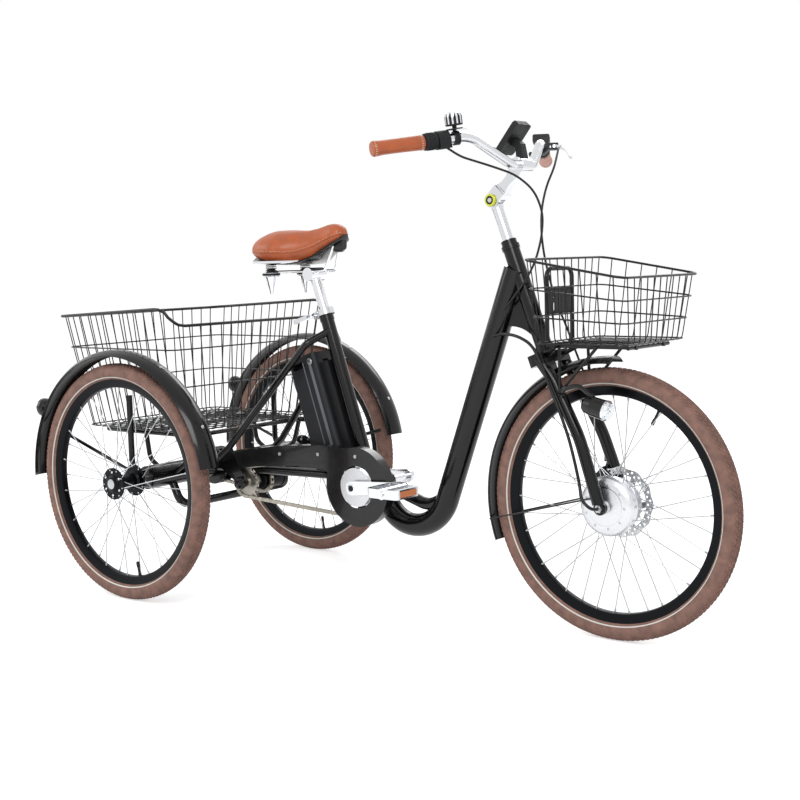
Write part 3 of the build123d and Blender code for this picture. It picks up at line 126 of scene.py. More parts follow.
class TricycleColours(bpy.types.PropertyGroup):
    """Colours of the finishes, as sRGB hex values."""

    enamel: colour_setting("Frame enamel", "060607", "Gloss enamel of the frame and mudguards")
    tyre: colour_setting("Tyre", "86665b", "Coloured rubber of the tyres")
    leather: colour_setting("Leather", "b5592c", "Leather of the saddle and grips")
    thread: colour_setting("Thread", "eadfcb", "Waxed thread of the stitches")
    reflector: colour_setting("Side reflector", "d9701a", "Moulded pedal reflectors")
    rear_lens: colour_setting("Rear lens", "a5121a", "Moulded rear lamp lenses")
    pivot: colour_setting("Stem ring", "dfe23c", "Anodised ring round the stem pivot")


def sizes():
    """The scene's size settings."""
    return bpy.context.scene.tricycle_sizes


def colours():
    """The scene's colour settings."""
    return bpy.context.scene.tricycle_colours


# ---------------------------------------------------------------- node helpers
def linear(code):
    """Linear RGBA of an sRGB hex value."""
    parts = [int(code[i:i + 2], 16) / 255 for i in (0, 2, 4)]
    return [c / 12.92 if c <= 0.04045 else ((c + 0.055) / 1.055) ** 2.4 for c in parts] + [1.0]


def add_node(tree, kind, settings=None, inputs=None):
    """A node with its settings, and its inputs given as values or as sockets to link from."""
    node = tree.nodes.new(kind)
    for key, value in (settings or {}).items():
        setattr(node, key, value)
    for key, value in (inputs or {}).items():
        if isinstance(value, bpy.types.NodeSocket):
            tree.links.new(value, node.inputs[key])
        else:
            node.inputs[key].default_value = value
    return node


# ---------------------------------------------------------------- surface finishes
def start_surface(name, colour, metallic=0.0, roughness=0.5, extra=None):
    """A material with one Principled shader; returns it with its tree, shader and coordinates."""
    material = bpy.data.materials.new(name)
    material.use_nodes = True
    tree = material.node_tree
    shader = tree.nodes["Principled BSDF"]
    shader.inputs["Base Color"].default_value = linear(colour)
    shader.inputs["Metallic"].default_value = metallic
    shader.inputs["Roughness"].default_value = roughness
    for key, value in (extra or {}).items():
        shader.inputs[key].default_value = value
    place = add_node(tree, "ShaderNodeTexCoord").outputs["Object"]
    return material, tree, shader, place


def noise_field(tree, place, grain_mm, detail=2.0):
    """Soft noise with features of about the given size in millimetres."""
    node = add_node(tree, "ShaderNodeTexNoise", None,
                    {"Vector": place, "Scale": 1 / (grain_mm * MM), "Detail": detail})
    return node.outputs["Fac"]


def spread_roughness(tree, shader, field, low, high):
    """Roughness that wanders between two values, as handling and polishing leave it."""
    reach = add_node(tree, "ShaderNodeMapRange", None,
                     {"Value": field, "From Min": 0.3, "From Max": 0.7,
                      "To Min": low, "To Max": high})
    tree.links.new(reach.outputs["Result"], shader.inputs["Roughness"])


def raise_bump(tree, shader, field, depth_mm, strength=1.0):
    """Relief of the given depth."""
    bump = add_node(tree, "ShaderNodeBump", None,
                    {"Height": field, "Distance": depth_mm * MM, "Strength": strength})
    tree.links.new(bump.outputs["Normal"], shader.inputs["Normal"])
    return bump


def blend_colours(tree, shader, field, dark, light, low=0.35, high=0.65):
    """Colour that wanders between two values."""
    ramp = add_node(tree, "ShaderNodeMapRange", None,
                    {"Value": field, "From Min": low, "From Max": high})
    mix = add_node(tree, "ShaderNodeMix", {"data_type": "RGBA"}, {"Factor": ramp.outputs["Result"]})
    mix.inputs[6].default_value = linear(dark)
    mix.inputs[7].default_value = linear(light)
    tree.links.new(mix.outputs[2], shader.inputs["Base Color"])


def shade(code, factor):
    """A hex value made darker or lighter by a factor."""
    parts = [min(255, round(int(code[i:i + 2], 16) * factor)) for i in (0, 2, 4)]
    return "".join(f"{part:02x}" for part in parts)


def metal_finish(name, code, low, high, grain_mm, depth_mm):
    """Bare metal: full metallic, roughness that wanders, and a fine tool or cast grain."""
    material, tree, shader, place = start_surface(name, code, 1.0, low)
    spread_roughness(tree, shader, noise_field(tree, place, grain_mm * 6), low, high)
    raise_bump(tree, shader, noise_field(tree, place, grain_mm), depth_mm, 0.5)
    return material


def moulded_finish(name, code, roughness, grain_mm=0.8, depth_mm=0.03, coat=0.0):
    """Moulded plastic: a fine spark-eroded texture and slight wear of the shine."""
    material, tree, shader, place = start_surface(
        name, code, 0.0, roughness,
        {"Specular IOR Level": 0.3, "Coat Weight": coat * 0.35, "Coat Roughness": 0.08})
    spread_roughness(tree, shader, noise_field(tree, place, 25), roughness * 0.85, roughness * 1.15)
    raise_bump(tree, shader, noise_field(tree, place, grain_mm), depth_mm, 0.5)
    return material


def gloss_enamel():
    """Baked enamel under clear lacquer: deep black, sharp highlights and a faint orange peel."""
    material, tree, shader, place = start_surface(
        "baked_enamel_gloss", colours().enamel, 0.0, 0.2,
        {"Specular IOR Level": 0.22, "Coat Weight": 0.28, "Coat Roughness": 0.04})
    raise_bump(tree, shader, noise_field(tree, place, 5), 0.03, 0.35)
    return material


def dipped_wire():
    """Steel wire dipped in black plastic: soft shine over a slightly lumpy skin."""
    material, tree, shader, place = start_surface(
        "plastic_dipped_wire", "08080a", 0.0, 0.3,
        {"Specular IOR Level": 0.3, "Coat Weight": 0.12, "Coat Roughness": 0.2})
    raise_bump(tree, shader, noise_field(tree, place, 9), 0.15, 0.5)
    return material


def tyre_rubber():
    """Coloured tyre rubber: matt and softly mottled, so it never looks painted."""
    code = colours().tyre
    material, tree, shader, place = start_surface("coloured_tyre_rubber", code, 0.0, 0.82)
    broad = noise_field(tree, place, 22, 4.0)
    blend_colours(tree, shader, broad, shade(code, 0.82), shade(code, 1.12), 0.3, 0.7)
    spread_roughness(tree, shader, broad, 0.72, 0.92)
    raise_bump(tree, shader, noise_field(tree, place, 1.6, 3.0), 0.25, 0.5)
    return material


def reflex_band():
    """Retro-reflective tape moulded into the sidewall: silver white with fine glass beads."""
    material, tree, shader, place = start_surface("reflective_sidewall_tape", "dcdad2", 0.0, 0.4)
    raise_bump(tree, shader, noise_field(tree, place, 0.7), 0.05, 0.6)
    return material


def tanned_leather():
    """Vegetable-tanned leather: pebbled grain, darker creases and a light wax shine."""
    code = colours().leather
    material, tree, shader, place = start_surface(
        "waxed_tan_leather", code, 0.0, 0.42, {"Coat Weight": 0.18, "Coat Roughness": 0.3})
    cells = add_node(tree, "ShaderNodeTexVoronoi", {"feature": "DISTANCE_TO_EDGE"},
                     {"Vector": place, "Scale": 1 / (2.4 * MM)})
    pores = add_node(tree, "ShaderNodeMapRange", None,
                     {"Value": cells.outputs["Distance"], "From Min": 0.0, "From Max": 0.16})
    broad = noise_field(tree, place, 30, 4.0)
    blend_colours(tree, shader, broad, shade(code, 0.93), shade(code, 1.05), 0.3, 0.7)
    spread_roughness(tree, shader, broad, 0.36, 0.5)
    raise_bump(tree, shader, pores.outputs["Result"], 0.06, 0.45)
    return material


def waxed_thread():
    """Waxed linen thread: pale, matt and twisted."""
    material, tree, shader, place = start_surface("waxed_linen_thread", colours().thread, 0.0, 0.7)
    raise_bump(tree, shader, noise_field(tree, place, 0.8), 0.1, 0.6)
    return material


def prism_lens(name, code, cell_mm, mirror=0.0):
    """Moulded lens: a glossy face over small prisms that throw the light back."""
    material, tree, shader, place = start_surface(
        name, code, 0.0, 0.1,
        {"Coat Weight": 1.0, "Coat Roughness": 0.02, "IOR": 1.58, "Metallic": mirror})
    cells = add_node(tree, "ShaderNodeTexVoronoi", None,
                     {"Vector": place, "Scale": 1 / (cell_mm * MM)})
    raise_bump(tree, shader, cells.outputs["Distance"], cell_mm * 0.4, 0.7)
    return material


def cable_hose():
    """Extruded cable housing: smooth black plastic with a low shine."""
    return moulded_finish("extruded_cable_housing", "0e0e10", 0.38, 2.0, 0.04, 0.2)


FINISH_MAKERS = {
    "enamel": gloss_enamel,
    "wire": dipped_wire,
    "tyre": tyre_rubber,
    "tape": reflex_band,
    "leather": tanned_leather,
    "thread": waxed_thread,
    "housing": cable_hose,
    # deep black anodising on extruded rims and machined hubs: dark metal with a satin shine
    "anodised": lambda: metal_finish("black_anodised_aluminium", "1d1e20", 0.3, 0.42, 1.0, 0.01),
    # drawn stainless wire: a grey shine along each spoke
    "spoke": lambda: metal_finish("stainless_spoke_wire", "b4b6b9", 0.18, 0.28, 2.0, 0.005),
    # buffed forged aluminium of the stem, bar and cranks: bright with soft reflections
    "polished": lambda: metal_finish("buffed_aluminium", "d9dbde", 0.1, 0.2, 3.0, 0.01),
    # bead-blasted die casting of the motor shell: pale silver with a fine even grain
    "cast": lambda: metal_finish("blasted_cast_aluminium", "d9dbde", 0.26, 0.38, 0.9, 0.03),
    # plated steel of the post, springs and bell: mirror bright
    "chrome": lambda: metal_finish("chrome_plated_steel", "e6e7ea", 0.03, 0.09, 6.0, 0.004),
    # oiled roller chain and sprockets: dull warm steel
    "chain": lambda: metal_finish("oiled_carbon_steel", "b5b0a6", 0.28, 0.45, 1.5, 0.03),
    # ground stainless disc: fine brushed grey
    "disc": lambda: metal_finish("ground_stainless_steel", "c6c7c9", 0.22, 0.34, 1.0, 0.01),
    # zinc-plated fasteners
    "zinc": lambda: metal_finish("zinc_plated_steel", "b9bbbd", 0.25, 0.4, 2.0, 0.01),
    # glass-filled nylon of brackets, levers' bodies and housings: matt black
    "nylon": lambda: moulded_finish("glass_filled_nylon", "151618", 0.5, 0.8, 0.04),
    # polished ABS of the chain guard and lamp shells: black with a soft shine
    "gloss_abs": lambda: moulded_finish("gloss_moulded_abs", "0d0d0f", 0.22, 6.0, 0.02, 0.7),
    # textured ABS of the battery case: charcoal, fine grain
    "battery": lambda: moulded_finish("textured_battery_abs", "1b1c1f", 0.48, 0.9, 0.05, 0.1),
    # extruded rail beside the battery: grey, satin
    "rail": lambda: moulded_finish("grey_battery_rail", "6b6e73", 0.42, 0.9, 0.03, 0.1),
    # soft ribbed rubber of the shifter
    "soft_rubber": lambda: moulded_finish("ribbed_soft_rubber", "232427", 0.7, 0.9, 0.06),
    "amber": lambda: prism_lens("amber_prism_reflector", colours().reflector, 2.5),
    "red_lens": lambda: prism_lens("red_prism_lens", colours().rear_lens, 3.0),
    "clear_lens": lambda: prism_lens("faceted_clear_polycarbonate", "dfe5ea", 6.0, 0.8),
    "reflector_bowl": lambda: metal_finish("vacuum_plated_bowl", "e8eaec", 0.06, 0.14, 5.0, 0.2),
    "pivot_ring": lambda: moulded_finish(
        "yellow_anodised_ring", colours().pivot, 0.3, 2.0, 0.01, 0.5),
}
made_finishes = {}


def finish(name):
    """The finish of that name, made the first time it is asked for."""
    if name not in made_finishes:
        made_finishes[name] = FINISH_MAKERS[name]()
    return made_finishes[name]


# ---------------------------------------------------------------- mesh helpers
def frame_at(origin, z_dir, x_dir=(1, 0, 0)):
    """A matrix that places local Z along z_dir and local X near x_dir."""
    z_axis = Vector(z_dir).normalized()
    x_axis = Vector(x_dir)
    x_axis = (x_axis - z_axis * x_axis.dot(z_axis)).normalized()
    y_axis = z_axis.cross(x_axis)
    matrix = Matrix((x_axis, y_axis, z_axis)).transposed().to_4x4()
    matrix.translation = origin
    return matrix


def clean(mesh, crease=CREASE):
    """Merged, outward-facing and smooth except over sharp edges."""
    builder = bmesh.new()
    builder.from_mesh(mesh)
    bmesh.ops.remove_doubles(builder, verts=builder.verts, dist=MERGE_DISTANCE)
    bmesh.ops.recalc_face_normals(builder, faces=builder.faces)
    builder.to_mesh(mesh)
    builder.free()
    mesh.shade_smooth()
    mesh.set_sharp_from_angle(angle=radians(crease))
    return mesh


def faces_mesh(name, points, faces, crease=CREASE):
    """A cleaned mesh of points and faces."""
    mesh = bpy.data.meshes.new(name)
    mesh.from_pydata([tuple(point) for point in points], [], faces)
    return clean(mesh, crease=crease)


def turned_mesh(name, profile, base, steps=64):
    """A profile of (radius, height) in millimetres, closed on itself, turned about base's Z."""
    points = []
    for step in range(steps):
        angle = 2 * pi * step / steps
        for radius, height in profile:
            points.append(base @ Vector(
                (radius * MM * cos(angle), radius * MM * sin(angle), height * MM)))
    count = len(profile)
    faces = []
    for step in range(steps):
        here, after = step * count, (step + 1) % steps * count
        for index in range(count):
            further = (index + 1) % count
            faces.append((here + index, after + index, after + further, here + further))
    return faces_mesh(name, points, faces)


def lofted_mesh(name, rings, crease=CREASE):
    """Rings of equal count joined into a closed skin with a face at each end."""
    count = len(rings[0])
    points = [point for ring in rings for point in ring]
    faces = []
    for row in range(len(rings) - 1):
        for index in range(count):
            further = (index + 1) % count
            low, high = row * count, (row + 1) * count
            faces.append((low + index, low + further, high + further, high + index))
    faces.append(tuple(range(count))[::-1])
    faces.append(tuple(range(len(points) - count, len(points))))
    return faces_mesh(name, points, faces, crease)


def block_mesh(name, size, taper=1.0):
    """A block on local XY whose top is narrower than its foot; sizes in millimetres."""
    length, width, height = (value * MM / 2 for value in size)
    foot = [(-length, -width), (length, -width), (length, width), (-length, width)]
    points = [(x, y, -height) for x, y in foot] + [(x * taper, y * taper, height) for x, y in foot]
    faces = [(3, 2, 1, 0), (4, 5, 6, 7), (0, 1, 5, 4), (1, 2, 6, 5), (2, 3, 7, 6), (3, 0, 4, 7)]
    return faces_mesh(name, points, faces)


def prism_mesh(name, radius, low, high, sides, base=None, chamfer=0.0):
    """A prism or short cylinder along base's Z, in millimetres, with chamfered rims."""
    base = base or Matrix.Identity(4)
    levels = [(radius - chamfer, low), (radius, low + chamfer),
              (radius, high - chamfer), (radius - chamfer, high)]
    rings = []
    for width, height in levels:
        rings.append([
            base @ Vector((width * MM * cos(2 * pi * side / sides),
                           width * MM * sin(2 * pi * side / sides), height * MM))
            for side in range(sides)])
    return lofted_mesh(name, rings)


def plate_mesh(name, outlines, thickness, base):
    """A flat plate from closed outlines, the inner ones being holes; outlines in metres."""
    curve = bpy.data.curves.new(name, "CURVE")
    curve.dimensions = "2D"
    curve.fill_mode = "BOTH"
    curve.extrude = thickness / 2
    for outline in outlines:
        spline = curve.splines.new("POLY")
        spline.points.add(len(outline) - 1)
        for point, (x, y) in zip(spline.points, outline):
            point.co = (x, y, 0, 1)
        spline.use_cyclic_u = True
    holder = bpy.data.objects.new(name, curve)
    bpy.context.scene.collection.objects.link(holder)
    view = bpy.context.evaluated_depsgraph_get()
    mesh = bpy.data.meshes.new_from_object(holder.evaluated_get(view))
    bpy.data.objects.remove(holder)
    mesh.transform(base)
    return clean(mesh)


def circle_outline(centre, radius, steps=16):
    """Points round a circle."""
    return [(centre[0] + radius * cos(2 * pi * step / steps),
             centre[1] + radius * sin(2 * pi * step / steps)) for step in range(steps)]


def merged_mesh(name, meshes):
    """Several meshes as one."""
    builder = bmesh.new()
    for mesh in meshes:
        builder.from_mesh(mesh)
    joined = bpy.data.meshes.new(name)
    builder.to_mesh(joined)
    builder.free()
    joined.shade_smooth()
    joined.set_sharp_from_angle(angle=radians(CREASE))
    return joined


def add_piece(name, mesh, finish_name, body, replaced=()):
    """A finished piece that rides on a body and takes its finish from a record slot."""
    mesh.materials.clear()
    mesh.materials.append(finish(finish_name))
    piece = bpy.data.objects.new(name, mesh)
    bpy.context.scene.collection.objects.link(piece)
    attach(piece, body)
    if replaced:
        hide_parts(*replaced)
    return piece


# ---------------------------------------------------------------- geometry node trees
def start_tree(name, inputs):
    """A geometry tree with a mesh in, named inputs and a mesh out."""
    tree = bpy.data.node_groups.new(name, "GeometryNodeTree")
    tree.interface.new_socket("Geometry", in_out="INPUT", socket_type="NodeSocketGeometry")
    for label, kind in inputs:
        tree.interface.new_socket(label, in_out="INPUT", socket_type=kind)
    tree.interface.new_socket("Geometry", in_out="OUTPUT", socket_type="NodeSocketGeometry")
    return tree, add_node(tree, "NodeGroupInput"), add_node(tree, "NodeGroupOutput")


def end_tree(tree, given, out, geometry):
    """The tree's last steps: real geometry with its material."""
    real = add_node(tree, "GeometryNodeRealizeInstances", None, {"Geometry": geometry})
    coated = add_node(tree, "GeometryNodeSetMaterial", None,
                      {"Geometry": real.outputs["Geometry"], "Material": given.outputs["Material"]})
    tree.links.new(coated.outputs["Geometry"], out.inputs["Geometry"])
    return tree


def wire_tree():
    """Drawn wire of one thickness along every edge path."""
    tree, given, out = start_tree("drawn wire", [
        ("Radius", "NodeSocketFloat"), ("Sides", "NodeSocketInt"),
        ("Material", "NodeSocketMaterial")])
    path = add_node(tree, "GeometryNodeMeshToCurve", None, {"Mesh": given.outputs["Geometry"]})
    section = add_node(tree, "GeometryNodeCurvePrimitiveCircle", None,
                       {"Resolution": given.outputs["Sides"], "Radius": given.outputs["Radius"]})
    drawn = add_node(tree, "GeometryNodeCurveToMesh", None,
                     {"Curve": path.outputs["Curve"], "Profile Curve": section.outputs["Curve"],
                      "Fill Caps": True})
    smooth = add_node(tree, "GeometryNodeSetShadeSmooth", None, {"Geometry": drawn.outputs["Mesh"]})
    return end_tree(tree, given, out, smooth.outputs["Geometry"])


def scatter_tree():
    """One pattern piece at every point, turned as the point says."""
    tree, given, out = start_tree("set pieces", [
        ("Pattern", "NodeSocketObject"), ("Size", "NodeSocketFloat"),
        ("Material", "NodeSocketMaterial")])
    pattern = add_node(tree, "GeometryNodeObjectInfo", None, {"Object": given.outputs["Pattern"]})
    turn = add_node(tree, "GeometryNodeInputNamedAttribute", {"data_type": "FLOAT_VECTOR"},
                    {"Name": "turn"})
    rotation = add_node(tree, "FunctionNodeEulerToRotation", None,
                        {"Euler": turn.outputs["Attribute"]})
    placed = add_node(tree, "GeometryNodeInstanceOnPoints", None,
                      {"Points": given.outputs["Geometry"],
                       "Instance": pattern.outputs["Geometry"],
                       "Rotation": rotation.outputs["Rotation"],
                       "Scale": given.outputs["Size"]})
    return end_tree(tree, given, out, placed.outputs["Instances"])


made_trees = {}


def grown_mesh(name, start, maker, values):
    """The plain mesh that a geometry tree makes from a starting mesh."""
    if maker not in made_trees:
        made_trees[maker] = maker()
    tree = made_trees[maker]
    holder = bpy.data.objects.new(name, start)
    bpy.context.scene.collection.objects.link(holder)
    modifier = holder.modifiers.new("pattern", "NODES")
    modifier.node_group = tree
    sockets = {item.name: item.identifier for item in tree.interface.items_tree
               if item.item_type == "SOCKET" and item.in_out == "INPUT"}
    for label, value in values.items():
        modifier[sockets[label]] = value
    bpy.context.view_layer.update()
    view = bpy.context.evaluated_depsgraph_get()
    mesh = bpy.data.meshes.new_from_object(holder.evaluated_get(view))
    if not mesh.polygons:
        raise RuntimeError(f"{name}: the tree made no faces")
    holder.modifiers.remove(modifier)
    bpy.data.objects.remove(holder)
    mesh.name = name
    return mesh


def wires_mesh(name, paths, width, sides=8, finish_name="wire"):
    """Drawn wire along paths, each a list of points and whether it closes on itself."""
    points = []
    edges = []
    for path, closes in paths:
        first = len(points)
        points.extend(tuple(point) for point in path)
        edges.extend((first + index, first + index + 1) for index in range(len(path) - 1))
        if closes:
            edges.append((len(points) - 1, first))
    start = bpy.data.meshes.new(name)
    start.from_pydata(points, edges, [])
    return grown_mesh(name, start, wire_tree, {
        "Radius": width / 2, "Sides": sides, "Material": finish(finish_name)})


def set_mesh(name, pattern_mesh, places, finish_name):
    """Copies of a pattern piece at places, each a placing matrix."""
    start = bpy.data.meshes.new(name)
    start.from_pydata([tuple(place.translation) for place in places], [], [])
    turn = start.attributes.new("turn", "FLOAT_VECTOR", "POINT")
    for index, place in enumerate(places):
        turn.data[index].vector = place.to_euler("XYZ")
    pattern = bpy.data.objects.new("pattern_piece", pattern_mesh)
    bpy.context.scene.collection.objects.link(pattern)
    mesh = grown_mesh(name, start, scatter_tree, {
        "Pattern": pattern, "Size": 1.0, "Material": finish(finish_name)})
    bpy.data.objects.remove(pattern)
    return mesh


def rounded_path(points, radius):
    """A path of straight runs with its corners rounded off."""
    count = len(points)
    path = []
    for index, corner in enumerate(points):
        if index in (0, count - 1):
            path.append(corner)
            continue
        before, after = points[index - 1], points[index + 1]
        run_in, run_out = before - corner, after - corner
        reach = min(radius, run_in.length * 0.45, run_out.length * 0.45)
        start = corner + run_in.normalized() * reach
        end = corner + run_out.normalized() * reach
        for step in range(BEND_STEPS + 1):
            part = step / BEND_STEPS
            path.append(start * (1 - part) ** 2 + corner * 2 * part * (1 - part) + end * part ** 2)
    return path


# ---------------------------------------------------------------- tyres
TYRE_WIDTH = 47
TYRE_RADIUS = 300.4
TREAD_DEPTH = 1.5
SECTION_RADIUS = 278.5        # wheel radius at the middle of the tyre's section
RIM_EDGE = 262


def tyre_skin(angle, lift=0.0):
    """Side and radius of the tyre's skin at an angle round its section, in millimetres."""
    half_height = TYRE_RADIUS - TREAD_DEPTH - SECTION_RADIUS
    return ((TYRE_WIDTH / 2 - 0.4 + lift) * cos(angle),
            SECTION_RADIUS + (half_height + lift) * sin(angle))


def make_tyre(name, centre, body):
    """Carcass, chevron tread blocks and a reflective line on each sidewall."""
    base = frame_at(centre, (0, 1, 0))
    sweep = [radians(-48 + step * 276 / 28) for step in range(29)]
    outline = [tyre_skin(angle) for angle in sweep]
    profile = [(radius, side) for side, radius in outline]
    profile += [(RIM_EDGE - 4, -9.6), (RIM_EDGE - 4, 9.6)]
    carcass = add_piece(name, turned_mesh(name, profile, base, 144), "tyre", body, [name])
    block = block_mesh("tread_block", (10.5, 4.2, TREAD_DEPTH + 0.6), 0.86)
    rows = sizes().tread_rows
    places = []
    for row in range(rows):
        for lane, lean in ((-62, 28), (-34, -32), (0, 32), (34, -32), (62, 28)):
            turn = 2 * pi * (row + (lane % 2) / 2 + (0.5 if abs(lane) == 34 else 0)) / rows
            across = radians(90 - lane * 0.62)
            side, radius = tyre_skin(across, TREAD_DEPTH / 2 - 0.3)
            out = Vector((cos(turn), 0, sin(turn)))
            point = centre + out * radius * MM + Vector((0, side * MM, 0))
            normal = (out * sin(across) + Vector((0, cos(across), 0))).normalized()
            along = Vector((-sin(turn), 0, cos(turn)))
            place = frame_at(point, normal, along) @ Matrix.Rotation(radians(lean), 4, "Z")
            places.append(place)
    add_piece(f"{name}_tread", set_mesh(f"{name}_tread", block, places, "tyre"), "tyre", body)
    bands = []
    for mirror in (-1, 1):
        skin = [tyre_skin(asin(reach / 20.4), 0.35) for reach in (-13.2, -12.0, -10.8)]
        inner = [tyre_skin(asin(reach / 20.4), -0.8) for reach in (-10.8, -13.2)]
        band = [(radius, mirror * side) for side, radius in skin + inner]
        bands.append(turned_mesh("sidewall_line", band, base, 144))
    add_piece(f"{name}_line", merged_mesh(f"{name}_line", bands), "tape", body)
    return carcass


# ---------------------------------------------------------------- wheels
RIM_SECTION = [
    (239.5, -5), (239.5, 5), (241, 8.5), (249, 11.5), (RIM_EDGE - 0.8, 12.8), (RIM_EDGE, 12.3),
    (RIM_EDGE - 0.6, 10.8), (254.8, 10.2), (254.8, -10.2), (RIM_EDGE - 0.6, -10.8),
    (RIM_EDGE, -12.3), (RIM_EDGE - 0.8, -12.8), (249, -11.5), (241, -8.5)]


def spoke_runs(centre, flanges):
    """Start and end of every spoke, crossed as a wheel builder laces them."""
    per_flange = sizes().spoke_count // 2
    runs = []
    for number, (side, radius) in enumerate(flanges):
        for index in range(per_flange):
            rim_angle = radians((index + number / 2) * 360 / per_flange)
            hub_angle = rim_angle + radians(24 if index % 2 else -24)
            start = centre + Vector(
                (radius * cos(hub_angle), side + (1.6 if index % 2 else -1.6),
                 radius * sin(hub_angle))) * MM
            nipple_side = 4 if side > 0 else -4
            end = centre + Vector((241 * cos(rim_angle), nipple_side, 241 * sin(rim_angle))) * MM
            runs.append((start, end))
    return runs


def make_wheel(name, centre, flanges, body, valve_angle):
    """Rim, laced spokes with nipples, and the valve; stands for the CAD wheel."""
    base = frame_at(centre, (0, 1, 0))
    add_piece(f"{name}_rim", turned_mesh(f"{name}_rim", RIM_SECTION, base, 144), "anodised",
              body, [name])
    runs = spoke_runs(centre, flanges)
    spokes = wires_mesh(f"{name}_spokes", [(run, False) for run in runs], sizes().spoke_width, 8,
                        "spoke")
    add_piece(f"{name}_spokes", spokes, "spoke", body)
    nipple = prism_mesh("nipple", 2.2, -8, 1, 8, chamfer=0.4)
    places = [frame_at(end, end - start) for start, end in runs]
    add_piece(f"{name}_nipples", set_mesh(f"{name}_nipples", nipple, places, "zinc"),
              "zinc", body)
    heads = [frame_at(start, (0, 1, 0)) for start, end in runs]
    head = prism_mesh("spoke_head", 2.4, -1.4, 1.4, 8, chamfer=0.6)
    add_piece(f"{name}_spoke_heads", set_mesh(f"{name}_spoke_heads", head, heads, "spoke"),
              "spoke", body)
    angle = radians(valve_angle)
    inward = Vector((-cos(angle), 0, -sin(angle)))
    stem_base = frame_at(centre - inward * 240 * MM, inward)
    stem = turned_mesh(f"{name}_valve", [
        (0, -1), (3.6, -1), (3.6, 4), (3, 5), (3, 22), (4, 23), (4, 34), (3, 36), (0, 36)],
        stem_base, 20)
    add_piece(f"{name}_valve", stem, "nylon", body)


def rear_hub(name, centre, side, body):
    """Flanged hub shell with its bolt ring, axle and end nut."""
    base = frame_at(centre, (0, side, 0))
    shell = turned_mesh(f"{name}_hub", [
        (9, -38), (17, -38), (19, -36), (19, -35), (39, -34.6), (40, -33.6), (40, -30.4),
        (39, -29.4), (24, -28.8), (19, -24), (19, 27), (24, 31.8), (39, 32.4), (40, 33.4),
        (40, 36.6), (39, 37.6), (23, 38), (20, 42), (14, 44), (9, 44)], base, 72)
    add_piece(f"{name}_hub", shell, "anodised", body)
    screw = prism_mesh("hub_screw", 3.4, -1, 3, 6, chamfer=0.5)
    spots = []
    for number in range(6):
        angle = 2 * pi * (number + 0.5) / 6
        for height in (37.4, -39.4):
            spot = base @ Vector((29 * MM * cos(angle), 29 * MM * sin(angle), height * MM))
            spots.append(frame_at(spot, base.to_3x3() @ Vector((0, 0, 1 if height > 0 else -1))))
    add_piece(f"{name}_hub_screws", set_mesh(f"{name}_hub_screws", screw, spots, "zinc"),
              "zinc", body)
    inner = -(abs(centre.y) / MM - 10) if side < 0 else -(abs(centre.y) / MM - 45)
    axle = turned_mesh(f"{name}_axle", [
        (0, inner), (8.5, inner), (8.5, 40), (12, 41), (12.5, 42), (12.5, 44.4), (9, 45), (0, 45)],
        base, 32)
    add_piece(f"{name}_axle", axle, "zinc", body)


# ---------------------------------------------------------------- hub motor trim and brake disc
def make_motor_trim():
    """Cover screws and a raised ring on the motor shell's right face."""
    spots = []
    for number in range(9):
        angle = 2 * pi * number / 9
        spot = FRONT_AXLE + Vector((48 * cos(angle), -35.4, 48 * sin(angle))) * MM
        spots.append(frame_at(spot, (0, -1, 0)))
    screw = prism_mesh("cover_screw", 3.0, -1, 2.2, 12, chamfer=0.6)
    add_piece("motor_cover_screws", set_mesh("motor_cover_screws", screw, spots, "zinc"), "zinc",
              "front_wheel")
    ring_base = frame_at(FRONT_AXLE, (0, -1, 0))
    ring = turned_mesh("motor_cover_ring", [
        (40.5, 36.6), (43, 37.3), (54.5, 35.6), (56.5, 34.2), (56.5, 30), (40.5, 30)],
        ring_base, 96)
    add_piece("motor_cover_ring", ring, "cast", "front_wheel")


def make_brake_disc():
    """Wavy ventilated disc on six arms; stands for the plain CAD disc."""
    steps = 240
    outer = []
    for step in range(steps):
        angle = 2 * pi * step / steps
        radius = (78 + 1.7 * cos(12 * angle)) * MM
        outer.append((radius * cos(angle), radius * sin(angle)))
    outlines = [outer, circle_outline((0, 0), 17 * MM, 48)]
    for arm in range(6):
        sweep = [2 * pi * (arm + part) / 6 for part in (0.1, 0.3, 0.5, 0.7, 0.9)]
        window = [(62 * MM * cos(a), 62 * MM * sin(a)) for a in sweep]
        window += [(34 * MM * cos(a + 0.3), 34 * MM * sin(a + 0.3)) for a in reversed(sweep[1:-1])]
        outlines.append(window)
    for row, (radius, hole) in enumerate(((66.2, 2.6), (72.3, 2.8))):
        for number in range(24):
            angle = 2 * pi * (number + row / 2) / 24
            outlines.append(circle_outline(
                (radius * MM * cos(angle), radius * MM * sin(angle)), hole * MM, 10))
    low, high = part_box("brake_rotor")
    centre = Vector((FRONT_AXLE.x, (low.y + high.y) / 2, FRONT_AXLE.z))
    base = frame_at(centre, (0, 1, 0))
    mesh = plate_mesh("brake_disc", outlines, high.y - low.y, base)
    add_piece("brake_disc", mesh, "disc", "front_wheel", ["brake_rotor"])
    spots = []
    for arm in range(6):
        angle = 2 * pi * (arm + 0.5) / 6 + 0.12
        spot = centre + Vector((22 * cos(angle), 0.9, 22 * sin(angle))) * MM
        spots.append(frame_at(spot, (0, 1, 0)))
    bolt = prism_mesh("disc_bolt", 3.2, 0, 2.6, 10, chamfer=0.5)
    add_piece("brake_disc_bolts", set_mesh("brake_disc_bolts", bolt, spots, "zinc"), "zinc",
              "front_wheel")


# ---------------------------------------------------------------- chains
DRIVE_CHAIN_SIDE = -84 * MM
AXLE_CHAIN_SIDE = -26 * MM
CHAINRING_TEETH, DRIVER_TEETH = 38, 19
HUB_TEETH, AXLE_TEETH = 16, 18


